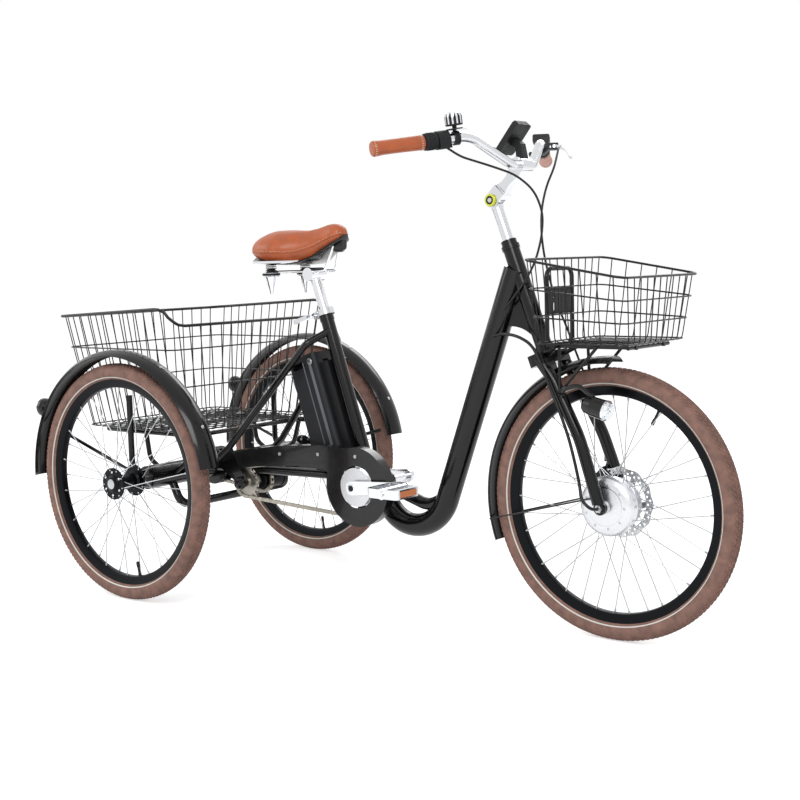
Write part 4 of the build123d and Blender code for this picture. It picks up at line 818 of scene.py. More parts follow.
def link_mesh(inner):
    """One roller chain link: two plates, and rollers or pins; local X is along it."""
    half = sizes().chain_pitch / 2
    face = 2.6 * MM if inner else 3.7 * MM
    plate_outline = []
    for step in range(16):
        angle = 2 * pi * step / 16
        lobe = half if cos(angle) > 0 else -half
        plate_outline.append((lobe + 4.1 * MM * cos(angle), 4.1 * MM * sin(angle)))
    parts = []
    for side in (-1, 1):
        rings = []
        for depth in (0, 1.1 * MM):
            height = side * (face + depth) if side > 0 else -(face + depth)
            rings.append([Vector((x, height, z)) for x, z in plate_outline])
        parts.append(lofted_mesh("link_plate", rings))
    radius, reach = (3.9, 2.6) if inner else (2.0, 5.0)
    for end in (-half, half):
        parts.append(prism_mesh("link_pin", radius, -reach, reach, 10,
                                frame_at((end, 0, 0), (0, 1, 0)), 0.3))
    return merged_mesh("chain_link", parts)


def chain_places(back, back_radius, ahead, ahead_radius):
    """Link places, two lists in turn, round two sprockets in a vertical plane."""
    span = hypot(ahead.x - back.x, ahead.z - back.z)
    rise = atan2(ahead.z - back.z, ahead.x - back.x)
    spread = asin((ahead_radius - back_radius) / span)
    run = span * cos(spread)
    wrap_ahead = pi + 2 * spread
    wrap_back = pi - 2 * spread
    length = 2 * run + wrap_ahead * ahead_radius + wrap_back * back_radius
    count = 2 * round(length / sizes().chain_pitch / 2)
    lists = ([], [])
    for number in range(count):
        step = length * number / count
        if step < run:
            line = rise + spread
            start_angle = rise + pi / 2 + spread
            x = back.x + back_radius * cos(start_angle) + step * cos(line)
            z = back.z + back_radius * sin(start_angle) + step * sin(line)
            heading = line
        elif step < run + wrap_ahead * ahead_radius:
            angle = rise + pi / 2 + spread - (step - run) / ahead_radius
            x = ahead.x + ahead_radius * cos(angle)
            z = ahead.z + ahead_radius * sin(angle)
            heading = angle - pi / 2
        elif step < 2 * run + wrap_ahead * ahead_radius:
            part = step - run - wrap_ahead * ahead_radius
            line = rise - spread
            end_angle = rise - pi / 2 - spread
            x = ahead.x + ahead_radius * cos(end_angle) - part * cos(line)
            z = ahead.z + ahead_radius * sin(end_angle) - part * sin(line)
            heading = line + pi
        else:
            part = step - 2 * run - wrap_ahead * ahead_radius
            angle = rise - pi / 2 - spread - part / back_radius
            x = back.x + back_radius * cos(angle)
            z = back.z + back_radius * sin(angle)
            heading = angle - pi / 2
        along = Vector((cos(heading), 0, sin(heading)))
        place = frame_at((x, back.y, z), along.cross(Vector((0, 1, 0))), along)
        lists[number % 2].append(place)
    return lists


def pitch_radius(teeth):
    """Radius to the chain's pins on a sprocket."""
    return sizes().chain_pitch / 2 / sin(pi / teeth)


def make_chain(name, back, back_teeth, ahead, ahead_teeth):
    """A roller chain of inner and outer links; stands for the CAD chain."""
    inner_places, outer_places = chain_places(
        back, pitch_radius(back_teeth), ahead, pitch_radius(ahead_teeth))
    inner = set_mesh(f"{name}_inner", link_mesh(True), inner_places, "chain")
    outer = set_mesh(f"{name}_outer", link_mesh(False), outer_places, "chain")
    add_piece(f"{name}_links", merged_mesh(f"{name}_links", [inner, outer]), "chain", "frame",
              [name])


# ---------------------------------------------------------------- baskets
REAR_RIM = (445 * MM, 600 * MM)     # length and width
FRONT_RIM = (244 * MM, 348 * MM)
REAR_RIM_FALL = 24 * MM             # from the front corners to the back
REAR_RIM_DIP = 46 * MM              # along the front, between its corners


class BasketShape:
    """A tapered basket: a rounded rectangle at the floor and a larger one at the rim."""

    def __init__(self, low_centre, low_size, high_centre, high_size, floor, rim, rim_drop):
        self.low = (low_centre, low_size[0] / 2, low_size[1] / 2)
        self.high = (high_centre, high_size[0] / 2, high_size[1] / 2)
        self.floor = floor
        self.rim = rim
        self.rim_drop = rim_drop

    def level(self, height):
        """Centre and half sizes of the outline at a height."""
        part = (height - self.floor) / (self.rim - self.floor)
        return [low + (high - low) * part for low, high in zip(self.low, self.high)]

    def rim_at(self, x, y):
        return self.rim - self.rim_drop(x, y)

    def ring(self, height, radius, follow_rim=False, per_edge=24):
        """The rounded outline at a height, or along the rim."""
        centre, half_x, half_y = self.level(height)
        corners = [(1, 1), (-1, 1), (-1, -1), (1, -1)]
        path = []
        for index, (side_x, side_y) in enumerate(corners):
            middle = (centre + side_x * (half_x - radius), side_y * (half_y - radius))
            for step in range(7):
                angle = pi / 2 * (index + step / 6)
                path.append((middle[0] + radius * cos(angle), middle[1] + radius * sin(angle)))
            next_x, next_y = corners[(index + 1) % 4]
            ahead = (centre + next_x * (half_x - radius), next_y * (half_y - radius))
            turn = pi / 2 * (index + 1)
            start = (middle[0] + radius * cos(turn), middle[1] + radius * sin(turn))
            end = (ahead[0] + radius * cos(turn), ahead[1] + radius * sin(turn))
            for step in range(1, per_edge):
                part = step / per_edge
                path.append((start[0] + (end[0] - start[0]) * part,
                             start[1] + (end[1] - start[1]) * part))
        return [Vector((x, y, self.rim_at(x, y) if follow_rim else height)) for x, y in path]

    def hoop(self, along_x, share, bend):
        """A wire down one wall, across the floor and up the other, at a share of the width."""
        def corner(height, end):
            centre, half_x, half_y = self.level(height)
            if along_x:
                return Vector((centre + end * half_x, share * half_y, height))
            return Vector((centre + share * half_x, end * half_y, height))
        foot = [corner(self.floor, end) for end in (-1, 1)]
        tops = []
        for end in (-1, 1):
            top = corner(self.rim, end)
            low = foot[0] if end < 0 else foot[1]
            height = self.rim_at(top.x, top.y)
            part = (height - self.floor) / (self.rim - self.floor)
            tops.append(low + (top - low) * part)
        return rounded_path([tops[0], foot[0], foot[1], tops[1]], bend)


def shares(width, gap, margin):
    """Even shares from -1 to 1 that keep clear of the rounded corners."""
    count = max(2, round((width - 2 * margin) / gap))
    reach = 1 - 2 * margin / width
    return [reach * (2 * index / count - 1) for index in range(count + 1)]


def rear_drop(x, y):
    """How far the rear basket's rim falls to the back, and dips along its front."""
    front_x = REAR_X + 130 * MM
    fall = REAR_RIM_FALL * (front_x - x) / REAR_RIM[0]
    side_run = min(50 * MM, max(0.0, x - front_x + 50 * MM))
    front_run = min(52 * MM, max(0.0, 300 * MM - abs(y))) if side_run > 30 * MM else 0.0
    reach = (side_run + front_run) / (102 * MM)
    return fall + REAR_RIM_DIP * (3 * reach ** 2 - 2 * reach ** 3)


def basket_hoops(shape, size, gaps, margin, bend):
    """Every hoop of a basket, along it and then across it, by its rim's length and width."""
    length, width = size
    hoops = [shape.hoop(True, share, bend) for share in shares(width, gaps[0], margin)]
    hoops += [shape.hoop(False, share, bend) for share in shares(length, gaps[1], margin)]
    return [(hoop, False) for hoop in hoops]


def make_rear_basket():
    """Thick rim with a dipped front, two bands, and hoops over a closely wired floor."""
    low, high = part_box("rear_basket")
    thin = sizes().basket_wire
    thick = sizes().rim_wire
    inset = thick
    rim = high.z - thick / 2
    shape = BasketShape(
        REAR_X - 88 * MM, (385 * MM - inset, 480 * MM - inset), REAR_X - 92 * MM,
        (REAR_RIM[0] - inset, REAR_RIM[1] - inset), low.z + thin / 2, rim, rear_drop)
    rim_ring = shape.ring(rim, 34 * MM, True)
    parts = [wires_mesh("rim", [(rim_ring, True)], thick, 14)]
    depth = rim - shape.floor
    bands = [shape.ring(rim - part * depth, 30 * MM) for part in (0.33, 0.63)]
    floor_ring = shape.ring(shape.floor + 1.2 * thin, 26 * MM)
    rings = [(band, True) for band in bands + [floor_ring]]
    parts.append(wires_mesh("bands", rings, thin * 1.25, 8))
    gaps = (sizes().rear_end_gap, sizes().rear_side_gap)
    hoops = basket_hoops(shape, REAR_RIM, gaps, 30 * MM, 14 * MM)
    parts.append(wires_mesh("hoops", hoops, thin, 6))
    add_piece("rear_wire_basket", merged_mesh("rear_wire_basket", parts), "wire", "frame",
              ["rear_basket"])


def make_front_basket():
    """Light wire basket whose rim slopes down to the front, with two bands."""
    low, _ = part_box("front_basket")
    front_x = FRONT_AXLE.x
    thin = sizes().basket_wire * 0.9
    thick = sizes().rim_wire * 0.68
    inset = thick

    def slope(x, _):
        """How far the rim falls towards the front."""
        return 42 * MM * min(1.0, max(0.0, (x - front_x + 119 * MM) / FRONT_RIM[0]))

    rim = low.z + 186 * MM - thick / 2
    shape = BasketShape(
        front_x - 4 * MM, (226 * MM - inset, 272 * MM - inset), front_x + 3 * MM,
        (FRONT_RIM[0] - inset, FRONT_RIM[1] - inset), low.z + thin / 2, rim, slope)
    parts = [wires_mesh("rim", [(shape.ring(rim, 26 * MM, True), True)], thick, 12)]
    depth = rim - shape.floor
    bands = []
    for part in (0.34, 0.67):
        band = shape.ring(rim - part * depth, 24 * MM)
        for point in band:
            point.z -= slope(point.x, point.y) * (1 - part)
        bands.append(band)
    bands.append(shape.ring(shape.floor + thin, 20 * MM))
    parts.append(wires_mesh("bands", [(band, True) for band in bands], thin * 1.35, 8))
    gaps = (sizes().front_end_gap, sizes().front_side_gap)
    hoops = basket_hoops(shape, FRONT_RIM, gaps, 22 * MM, 12 * MM)
    parts.append(wires_mesh("hoops", hoops, thin, 6))
    add_piece("front_wire_basket", merged_mesh("front_wire_basket", parts), "wire", "steering",
              ["front_basket"])


# ---------------------------------------------------------------- saddle
# distance ahead of the rear axle, half width, top and bottom heights
SADDLE_STATIONS = [
    (196, 34, 884, 862), (203, 66, 898, 854), (222, 96, 912, 847), (252, 106, 919, 843),
    (286, 106, 919, 841), (318, 92, 917, 840), (348, 68, 916, 843), (380, 48, 921, 856),
    (410, 38, 929, 874), (434, 33, 934, 887), (450, 25, 930, 895), (457, 12, 920, 904)]
SEAM_STEPS = 70
SEAM_RISE = 0.3               # seam height as a share of the padding's depth
NOSE_BUMPER = [(418, 10, 892, 868), (430, 13, 900, 863), (446, 13, 902, 864), (454, 9, 900, 870)]


def saddle_ring(ahead, half_width, top, bottom, swell=0.0):
    """One cross-section: domed above, tucked in below."""
    ring = []
    count = 28
    middle = bottom + (top - bottom) * 0.42
    for step in range(count):
        angle = 2 * pi * step / count
        level = sin(angle)
        side = cos(angle)
        reach = (abs(side) ** 0.8) * (1 if side > 0 else -1)
        if level >= 0:
            height = middle + (top - middle) * level ** 1.15
        else:
            height = middle - (middle - bottom) * abs(level) ** 0.6
            reach *= 1 - 0.1 * abs(level)
        ring.append(Vector((REAR_X + ahead * MM, (half_width + swell) * reach * MM, height * MM)))
    return ring


def inflated(mesh, voxel, cap):
    """The mesh as a padded skin: remeshed, swollen by a short cloth simulation and capped."""
    pad = bpy.data.objects.new("pad_under_pressure", mesh)
    bpy.context.scene.collection.objects.link(pad)
    remesh = pad.modifiers.new("remesh", "REMESH")
    remesh.mode = "VOXEL"
    remesh.voxel_size = voxel
    view = bpy.context.evaluated_depsgraph_get()
    even = bpy.data.meshes.new_from_object(pad.evaluated_get(view))
    pad.modifiers.clear()
    pad.data = even
    rest = [vertex.co.copy() for vertex in even.vertices]
    cloth = pad.modifiers.new("cloth", "CLOTH")
    cloth.settings.use_pressure = True
    cloth.settings.uniform_pressure_force = 4
    cloth.settings.effector_weights.gravity = 0
    cloth.settings.quality = 5
    for moment in range(1, 21):
        bpy.context.scene.frame_set(moment)
    view = bpy.context.evaluated_depsgraph_get()
    swollen = bpy.data.meshes.new_from_object(pad.evaluated_get(view))
    pad.modifiers.clear()
    for vertex, home in zip(swollen.vertices, rest):
        move = vertex.co - home
        if move.length > cap:
            vertex.co = home + move.normalized() * cap
    pad.data = swollen
    bpy.context.scene.frame_set(1)
    smooth = pad.modifiers.new("smooth", "SMOOTH")
    smooth.factor = 0.5
    smooth.iterations = 6
    fine = pad.modifiers.new("fine", "SUBSURF")
    fine.levels = 1
    fine.render_levels = 1
    view = bpy.context.evaluated_depsgraph_get()
    result = bpy.data.meshes.new_from_object(pad.evaluated_get(view))
    bpy.data.objects.remove(pad)
    result.shade_smooth()
    return result


def make_saddle():
    """Padded leather saddle with its sewn lower seam, black pan and nose bumper."""
    rings = [saddle_ring(*station, swell=-2.0) for station in SADDLE_STATIONS]
    pad_mesh = inflated(lofted_mesh("saddle", rings, 80), 4.5 * MM, 4 * MM)
    surface = BVHTree.FromPolygons([v.co.copy() for v in pad_mesh.vertices],
                                   [tuple(p.vertices) for p in pad_mesh.polygons])
    pad = add_piece("saddle_leather", pad_mesh, "leather", "saddle", ["saddle_pad"])

    def station_at(part):
        """Ahead, half width, top and bottom at a share of the saddle's length."""
        count = len(SADDLE_STATIONS) - 1
        place = min(part * count, count - 1e-6)
        index = int(place)
        share = place - index
        here, after = SADDLE_STATIONS[index], SADDLE_STATIONS[index + 1]
        return [a + (b - a) * share for a, b in zip(here, after)]

    seam = []
    for side in (-1, 1):
        parts = [step / SEAM_STEPS for step in range(SEAM_STEPS + 1)]
        if side > 0:
            parts.reverse()
        for part in parts:
            ahead, half, top, bottom = station_at(part)
            probe = Vector((REAR_X + ahead * MM, side * (half + 2) * MM,
                            (bottom + (top - bottom) * SEAM_RISE) * MM))
            spot, normal, _, _ = surface.find_nearest(probe)
            seam.append((spot, normal))
    piping = wires_mesh("saddle_piping", [([s + n * 0.5 * MM for s, n in seam], True)], 2.4 * MM, 8,
                        "leather")
    add_piece("saddle_piping", piping, "leather", "saddle")
    stitches = []
    travelled = 0.0
    for (spot, normal), (after, _) in zip(seam, seam[1:]):
        travelled += (after - spot).length
        if travelled < sizes().stitch_pitch:
            continue
        travelled = 0.0
        lift = spot + Vector((0, 0, 3.4 * MM))
        touch, normal_here, _, _ = surface.find_nearest(lift)
        stitches.append(frame_at(touch + normal_here * 0.2 * MM, normal_here, after - spot))
    stitch = block_mesh("stitch", (3.2, 0.9, 0.9), 0.7)
    add_piece("saddle_stitches", set_mesh("saddle_stitches", stitch, stitches, "thread"),
              "thread", "saddle")
    pan_rings = []
    for ahead, half, top, bottom in SADDLE_STATIONS:
        pan_rings.append([
            Vector((REAR_X + ahead * MM, half * 0.93 * MM * cos(a),
                    (bottom - 1.5 + 5 * sin(a)) * MM))
            for a in (2 * pi * step / 20 for step in range(20))])
    pan = lofted_mesh("saddle_pan", pan_rings, 50)
    add_piece("saddle_pan", pan, "gloss_abs", "saddle")
    bumper = lofted_mesh("saddle_bumper", [saddle_ring(*station) for station in NOSE_BUMPER], 50)
    add_piece("saddle_bumper", bumper, "gloss_abs", "saddle")


def make_spring_rings():
    """Black rubber collars and coils on the two saddle spring cups."""
    collars = []
    ahead, out, foot = SPRING_CUP
    for side in (-1, 1):
        base = frame_at(Vector((REAR_X + ahead * MM, side * out * MM, foot * MM)), (0, 0, 1))
        collars.append(turned_mesh("collar", [
            (20, 46.6), (22.4, 47.4), (22.6, 50), (22.4, 52.6), (20, 53.4)], base, 48))
        for coil in range(4):
            height = 60 + coil * 4.6
            collars.append(turned_mesh("coil", [
                (12.5 + 1.3 * cos(a), height + 1.3 * sin(a)) for a in
                (2 * pi * step / 8 for step in range(8))], base, 36))
    add_piece("saddle_spring_collars", merged_mesh("saddle_spring_collars", collars), "nylon",
              "saddle")


# ---------------------------------------------------------------- handlebar trim
BAR_AXIS = Vector(joints["shifter_twist"]["axis"])
BAR_END = Vector(joints["shifter_twist"]["pos_m"]) - BAR_AXIS * SHIFTER_ALONG


def side_of_bar(side):
    """End and inward direction of one side of the handlebar."""
    flip = Matrix.Scale(-1, 3, (0, 1, 0)) if side > 0 else Matrix.Identity(3)
    return flip @ BAR_END, flip @ BAR_AXIS


def make_grips():
    """Wrapped leather grips, flared at the end, with a laced seam and stitched edges."""
    leather = []
    stitches = []
    stitch = block_mesh("lace_stitch", (4.2, 1.1, 1.0), 0.7)
    for side, _ in SIDE_NAMES:
        end, inward = side_of_bar(side)
        base = frame_at(end, inward, (0, 0, 1))
        leather.append(turned_mesh("grip", [
            (0, -4.7), (11, -4.7), (14.6, -4), (16.3, -1.6), (16.6, 3), (16.2, 10), (15.4, 18),
            (15.0, 42), (15.3, 74), (15.9, 102), (16.2, 112), (15.4, 114.5), (11.3, 114.5),
            (11.3, 1), (0, 1)],
            base, 56))
        for ring_height in (1.5, 108):
            for number in range(22):
                angle = 2 * pi * number / 22
                radius = 16.6 if ring_height < 20 else 16.2
                out = base.to_3x3() @ Vector((cos(angle), sin(angle), 0))
                spot = end + out * radius * MM + inward * ring_height * MM
                stitches.append(frame_at(spot, out, inward))
        # laced seam along the top of the grip, two leaning rows
        for row, lean in ((-1, 35), (1, -35)):
            for number in range(24):
                height = 12 + number * 4.0
                angle = row * 0.11
                out = base.to_3x3() @ Vector((cos(angle), sin(angle), 0))
                spot = end + out * 15.5 * MM + inward * height * MM
                place = frame_at(spot, out, inward) @ Matrix.Rotation(radians(lean), 4, "Z")
                stitches.append(place)
    add_piece("leather_grips", merged_mesh("leather_grips", leather), "leather", "handlebar",
              ["grips"])
    add_piece("grip_stitches", set_mesh("grip_stitches", stitch, stitches, "thread"), "thread",
              "handlebar")


def make_shifter_trim():
    """Ribs of the twist sleeve."""
    end, inward = side_of_bar(-1)
    base = frame_at(end, inward, (0, 0, 1))
    places = []
    for number in range(28):
        angle = 2 * pi * number / 28
        out = base.to_3x3() @ Vector((cos(angle), sin(angle), 0))
        places.append(frame_at(end + out * 18.2 * MM + inward * SHIFTER_ALONG, out, inward))
    rib = block_mesh("grip_rib", (22, 1.8, 1.4), 0.7)
    add_piece("shifter_ribs", set_mesh("shifter_ribs", rib, places, "soft_rubber"), "soft_rubber",
              "shifter_sleeve")


def make_bell_dome():
    """Bright faceted dome over the bell's black base."""
    joint = joints["bell_ring"]
    up = -Vector(joint["axis"])
    if up.z < 0:
        up = -up
    end, inward = side_of_bar(-1)
    origin = end + inward * BELL_ALONG
    base = frame_at(origin, up)
    dome = turned_mesh("bell_dome", [
        (0, 30), (19.3, 30), (19.4, 31), (19.4, 46.2), (16.4, 53.3), (9.2, 56.5), (0, 57.4)],
        base, 12)
    add_piece("bell_dome", dome, "chrome", "handlebar")


def make_stem_ring():
    """Coloured ring and socket screw at each end of the stem's pivot bolt."""
    rings = []
    collars = []
    screws = []
    for side, _ in SIDE_NAMES:
        base = frame_at(STEM_PIVOT, (0, side, 0))
        rings.append(turned_mesh("ring", [
            (9.7, 16.4), (13.6, 16.4), (14, 17), (14, 21), (13.2, 22), (9.7, 22)], base, 56))
        collars.append(turned_mesh("collar", [(6.1, 16.4), (9.6, 16.4), (9.6, 22.2), (6.1, 22.2)],
                                   base, 56))
        screws.append(turned_mesh("socket_screw", [
            (0, 17), (6, 17), (6, 21.4), (5.2, 22.2), (3, 22.2), (3, 19.4), (0, 19.4)], base, 32))
    add_piece("stem_pivot_rings", merged_mesh("stem_pivot_rings", rings), "pivot_ring", "handlebar")
    add_piece("stem_pivot_collars", merged_mesh("stem_pivot_collars", collars), "nylon",
              "handlebar")
    add_piece("stem_pivot_screws", merged_mesh("stem_pivot_screws", screws), "zinc", "handlebar")


# ---------------------------------------------------------------- lamps, reflectors and bolts
def make_rear_lenses():
    """Round red lens and its bright rim in each rear lamp."""
    low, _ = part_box("rear_lamps")
    lenses = []
    rims = []
    for side in (-1, 1):
        centre = Vector((low.x, side * LAMP_SIDE, LAMP_HEIGHT))
        base = frame_at(centre, (-1, 0, 0), (0, 1, 0))
        lenses.append(turned_mesh("lens", [
            (0, 0.5), (13, -0.3), (20, -2.2), (21, -6), (0, -6)], base, 48))
        rims.append(turned_mesh("rim", [
            (20.4, -2), (22.6, -3.2), (24.2, -6.8), (24.2, -9), (20.4, -9)], base, 48))
    add_piece("rear_lamp_lenses", merged_mesh("rear_lamp_lenses", lenses), "red_lens", "frame")
    add_piece("rear_lamp_rims", merged_mesh("rear_lamp_rims", rims), "reflector_bowl", "frame")


def make_pedal_reflectors():
    """Amber reflectors in the front and back edge of each pedal."""
    for _, side_name in SIDE_NAMES:
        low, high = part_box(f"pedal_{side_name}")
        middle = (low + high) / 2
        plates = []
        for edge, facing in ((high.x, 1), (low.x, -1)):
            centre = Vector((edge - facing * 2 * MM, middle.y, middle.z))
            base = frame_at(centre, (facing, 0, 0), (0, 1, 0))
            mesh = block_mesh("reflector", (62, 15, 5), 0.96)
            mesh.transform(base)
            plates.append(mesh)
        name = f"pedal_{side_name}_reflectors"
        add_piece(name, merged_mesh(name, plates), "amber", f"pedal_{side_name}")


def make_battery_trim():
    """Grey rails down the battery's sides, its parting line and the lock."""
    joint = joints["battery_slide"]
    up = Vector(joint["axis"])
    ahead = up.cross(Vector((0, 1, 0))) * -1
    if ahead.x < 0:
        ahead = -ahead
    foot = Vector((CRANK.x - SEAT_FOOT_BACK, 0, CRANK.z))
    rails = []
    lines = []
    for side in (-1, 1):
        for back, width in ((-62, 9), (-84, 3)):
            centre = foot + up * 218 * MM + ahead * back * MM + Vector((0, side * 40 * MM, 0))
            mesh = block_mesh("rail", (236, width, 1.6), 0.98)
            mesh.transform(frame_at(centre, (0, side, 0), up))
            rails.append(mesh)
        centre = foot + up * 318 * MM + ahead * -92 * MM + Vector((0, side * 40 * MM, 0))
        mesh = block_mesh("line", (1.6, 74, 0.8), 1.0)
        mesh.transform(frame_at(centre, (0, side, 0), up))
        lines.append(mesh)
    add_piece("battery_side_rails", merged_mesh("battery_side_rails", rails), "rail",
              "battery_pack")
    lock_place = foot + up * 332 * MM + ahead * -60 * MM + Vector((0, -40 * MM, 0))
    lock_base = frame_at(lock_place, (0, -1, 0))
    lock = turned_mesh("battery_lock", [
        (0, -1), (8, -1), (8, 1.6), (7, 2.4), (2.2, 2.4), (2.2, 0.6), (0, 0.6)], lock_base, 40)
    add_piece("battery_lock", lock, "zinc", "battery_pack")
    add_piece("battery_parting_line", merged_mesh("battery_parting_line", lines), "nylon",
              "battery_pack")


def make_fender_bolts():
    """Dome bolts along the mudguards where the stays hold them."""
    spots = []
    for side in (-1, 1):
        for angle_deg in (28, 62, 150):
            angle = radians(angle_deg)
            out = Vector((cos(angle), 0, sin(angle)))
            spot = Vector((REAR_X, side * LAMP_SIDE, AXLE_HEIGHT)) + out * 335 * MM
            spots.append(frame_at(spot - out * 0.6 * MM, out))
    bolt = turned_mesh("dome_bolt", [(0, 0), (4.6, 0), (4.4, 1.4), (2.8, 2.6), (0, 3)],
                       Matrix.Identity(4), 14)
    add_piece("mudguard_bolts", set_mesh("mudguard_bolts", bolt, spots, "zinc"), "zinc", "frame")


def make_headlight_bowl():
    """Bright facet ring behind the headlight's lens."""
    low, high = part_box("headlight_lens")
    centre = (low + high) / 2
    axis = Vector((0.97, 0, -0.24)).normalized()
    base = frame_at(centre, axis, (0, 1, 0))
    ring = turned_mesh("headlight_ring", [
        (19.8, -5), (22.3, -5), (22.5, -3), (22.5, 0), (21, 1.4), (19.8, 0.6)], base, 56)
    add_piece("headlight_ring", ring, "reflector_bowl", "steering")


def make_crank_bolts():
    """Black bolt in a bright ring on each crank arm."""
    bolts = []
    rings = []
    for side, _ in SIDE_NAMES:
        base = frame_at(CRANK + Vector((0, side * CRANK_FACE, 0)), (0, side, 0))
        bolts.append(turned_mesh("bolt", [(0, -1), (7.6, -1), (7.6, 0.8), (6, 1.4), (0, 1.4)],
                                 base, 32))
        rings.append(turned_mesh("ring", [(7.8, -1), (11, -1), (11, 0.6), (10, 1.2), (7.8, 1.2)],
                                 base, 40))
    add_piece("crank_bolts", merged_mesh("crank_bolts", bolts), "nylon", "crankset")
    add_piece("crank_rings", merged_mesh("crank_rings", rings), "chrome", "crankset")


# ---------------------------------------------------------------- finishes of the CAD nodes
NODE_FINISHES = {
    "enamel": ["main_frame", "seat_tube", "axle_beam", "rear_stays", "rack_frame", "fork",
               "front_fender", "rear_fenders", "bearings"],
    "wire": ["front_carrier"],
    "chain": ["axle_sprocket", "hub_driver"],
    "zinc": ["frame_bolts", "front_axle"],
    "battery": ["battery"],
    "nylon": ["battery_dock", "brake_caliper", "lever_mounts", "control_pad", "throttle",
              "assist_button", "bell", "display"],
    "gloss_abs": ["chain_guard", "rear_lamps", "headlight"],
    "anodised": ["gear_hub"],
    "polished": ["seat_clamp", "seat_lever", "quill_stem", "stem_arm", "handlebar", "crank_arms",
                 "pedal_right", "pedal_left", "brake_lever"],
    "cast": ["chainring", "hub_motor"],
    "chrome": ["seat_post", "saddle_base", "bell_striker"],
    "clear_lens": ["headlight_lens"],
    "soft_rubber": ["shifter_sleeve"],
    "housing": ["gear_cable", "front_brake_cable", "motor_cable"],
}


def finish_nodes():
    """Every CAD node that stays in view gets its finish."""
    for finish_name, names in NODE_FINISHES.items():
        for name in names:
            node = frame["nodes"][name]
            for holder in node.material_slots:
                holder.material = finish(finish_name)


# ---------------------------------------------------------------- stage
CAMERA_PLACE = Vector((2.6829 + REAR_X, -2.5807, 0.8508))
CAMERA_YAW = -0.6749
CAMERA_PITCH = -0.1050
CAMERA_ROLL = -0.0252
CAMERA_LENS = 61.54


def make_camera():
    """The viewing angle of a standing adult at the tricycle's right front."""
    ahead = Vector((cos(CAMERA_PITCH) * sin(CAMERA_YAW), cos(CAMERA_PITCH) * cos(CAMERA_YAW),
                    sin(CAMERA_PITCH)))
    right = Vector((cos(CAMERA_YAW), -sin(CAMERA_YAW), 0))
    up = right.cross(ahead)
    rolled_right = right * cos(CAMERA_ROLL) + up * sin(CAMERA_ROLL)
    rolled_up = up * cos(CAMERA_ROLL) - right * sin(CAMERA_ROLL)
    lens = bpy.data.cameras.new("studio_camera")
    lens.lens = CAMERA_LENS
    lens.sensor_width = 36
    camera = bpy.data.objects.new("studio_camera", lens)
    matrix = Matrix((rolled_right, rolled_up, -ahead)).transposed().to_4x4()
    matrix.translation = CAMERA_PLACE
    camera.matrix_world = matrix
    bpy.context.scene.collection.objects.link(camera)
    bpy.context.scene.camera = camera


def seen_or_lit(tree, seen, lit):
    """Mixes two shaders: one that the camera, reflections and glass see, and one that lights."""
    rays = add_node(tree, "ShaderNodeLightPath")
    mirrored = add_node(tree, "ShaderNodeMath", {"operation": "MAXIMUM"},
                        {0: rays.outputs["Is Glossy Ray"], 1: rays.outputs["Is Transmission Ray"]})
    either = add_node(tree, "ShaderNodeMath", {"operation": "MAXIMUM"},
                      {0: rays.outputs["Is Camera Ray"], 1: mirrored.outputs["Value"]})
    return add_node(tree, "ShaderNodeMixShader", None,
                    {"Fac": either.outputs["Value"], 1: lit, 2: seen})


def make_world():
    """An even pale studio that the camera sees as white."""
    world = bpy.data.worlds.new("studio")
    bpy.context.scene.world = world
    world.use_nodes = True
    tree = world.node_tree
    tree.nodes.clear()
    seen = add_node(tree, "ShaderNodeBackground", None, {"Color": (1, 1, 1, 1), "Strength": 1.0})
    lit = add_node(tree, "ShaderNodeBackground", None, {"Color": (1, 1, 1, 1), "Strength": 0.55})
    mix = seen_or_lit(tree, seen.outputs["Background"], lit.outputs["Background"])
    add_node(tree, "ShaderNodeOutputWorld", None, {"Surface": mix.outputs["Shader"]})


def make_floor():
    """A wide white floor that shows only a soft shadow."""
    reach = 30.0
    mesh = bpy.data.meshes.new("studio_floor")
    corners = [(-reach, -reach, 0), (reach, -reach, 0), (reach, reach, 0), (-reach, reach, 0)]
    mesh.from_pydata(corners, [], [(0, 1, 2, 3)])
    material = bpy.data.materials.new("white_studio_floor")
    material.use_nodes = True
    tree = material.node_tree
    tree.nodes.clear()
    paint = add_node(tree, "ShaderNodeBsdfDiffuse", None, {"Color": (0.85, 0.85, 0.85, 1)})
    glow = add_node(tree, "ShaderNodeEmission", None, {"Color": (1, 1, 1, 1), "Strength": 0.57})
    both = add_node(tree, "ShaderNodeAddShader", None,
                    {0: paint.outputs["BSDF"], 1: glow.outputs["Emission"]})
    mix = seen_or_lit(tree, both.outputs["Shader"], paint.outputs["BSDF"])
    add_node(tree, "ShaderNodeOutputMaterial", None, {"Surface": mix.outputs["Shader"]})
    mesh.materials.append(material)
    floor = bpy.data.objects.new("studio_floor", mesh)
    bpy.context.scene.collection.objects.link(floor)


def make_lamp(name, place, size, power):
    """A soft box that faces the middle of the tricycle."""
    data = bpy.data.lights.new(name, "AREA")
    data.shape = "RECTANGLE"
    data.size, data.size_y = size
    data.energy = power
    lamp = bpy.data.objects.new(name, data)
    lamp.location = place
    aim = Vector((0, 0, 0.5)) - Vector(place)
    lamp.rotation_euler = aim.to_track_quat("-Z", "Y").to_euler()
    bpy.context.scene.collection.objects.link(lamp)


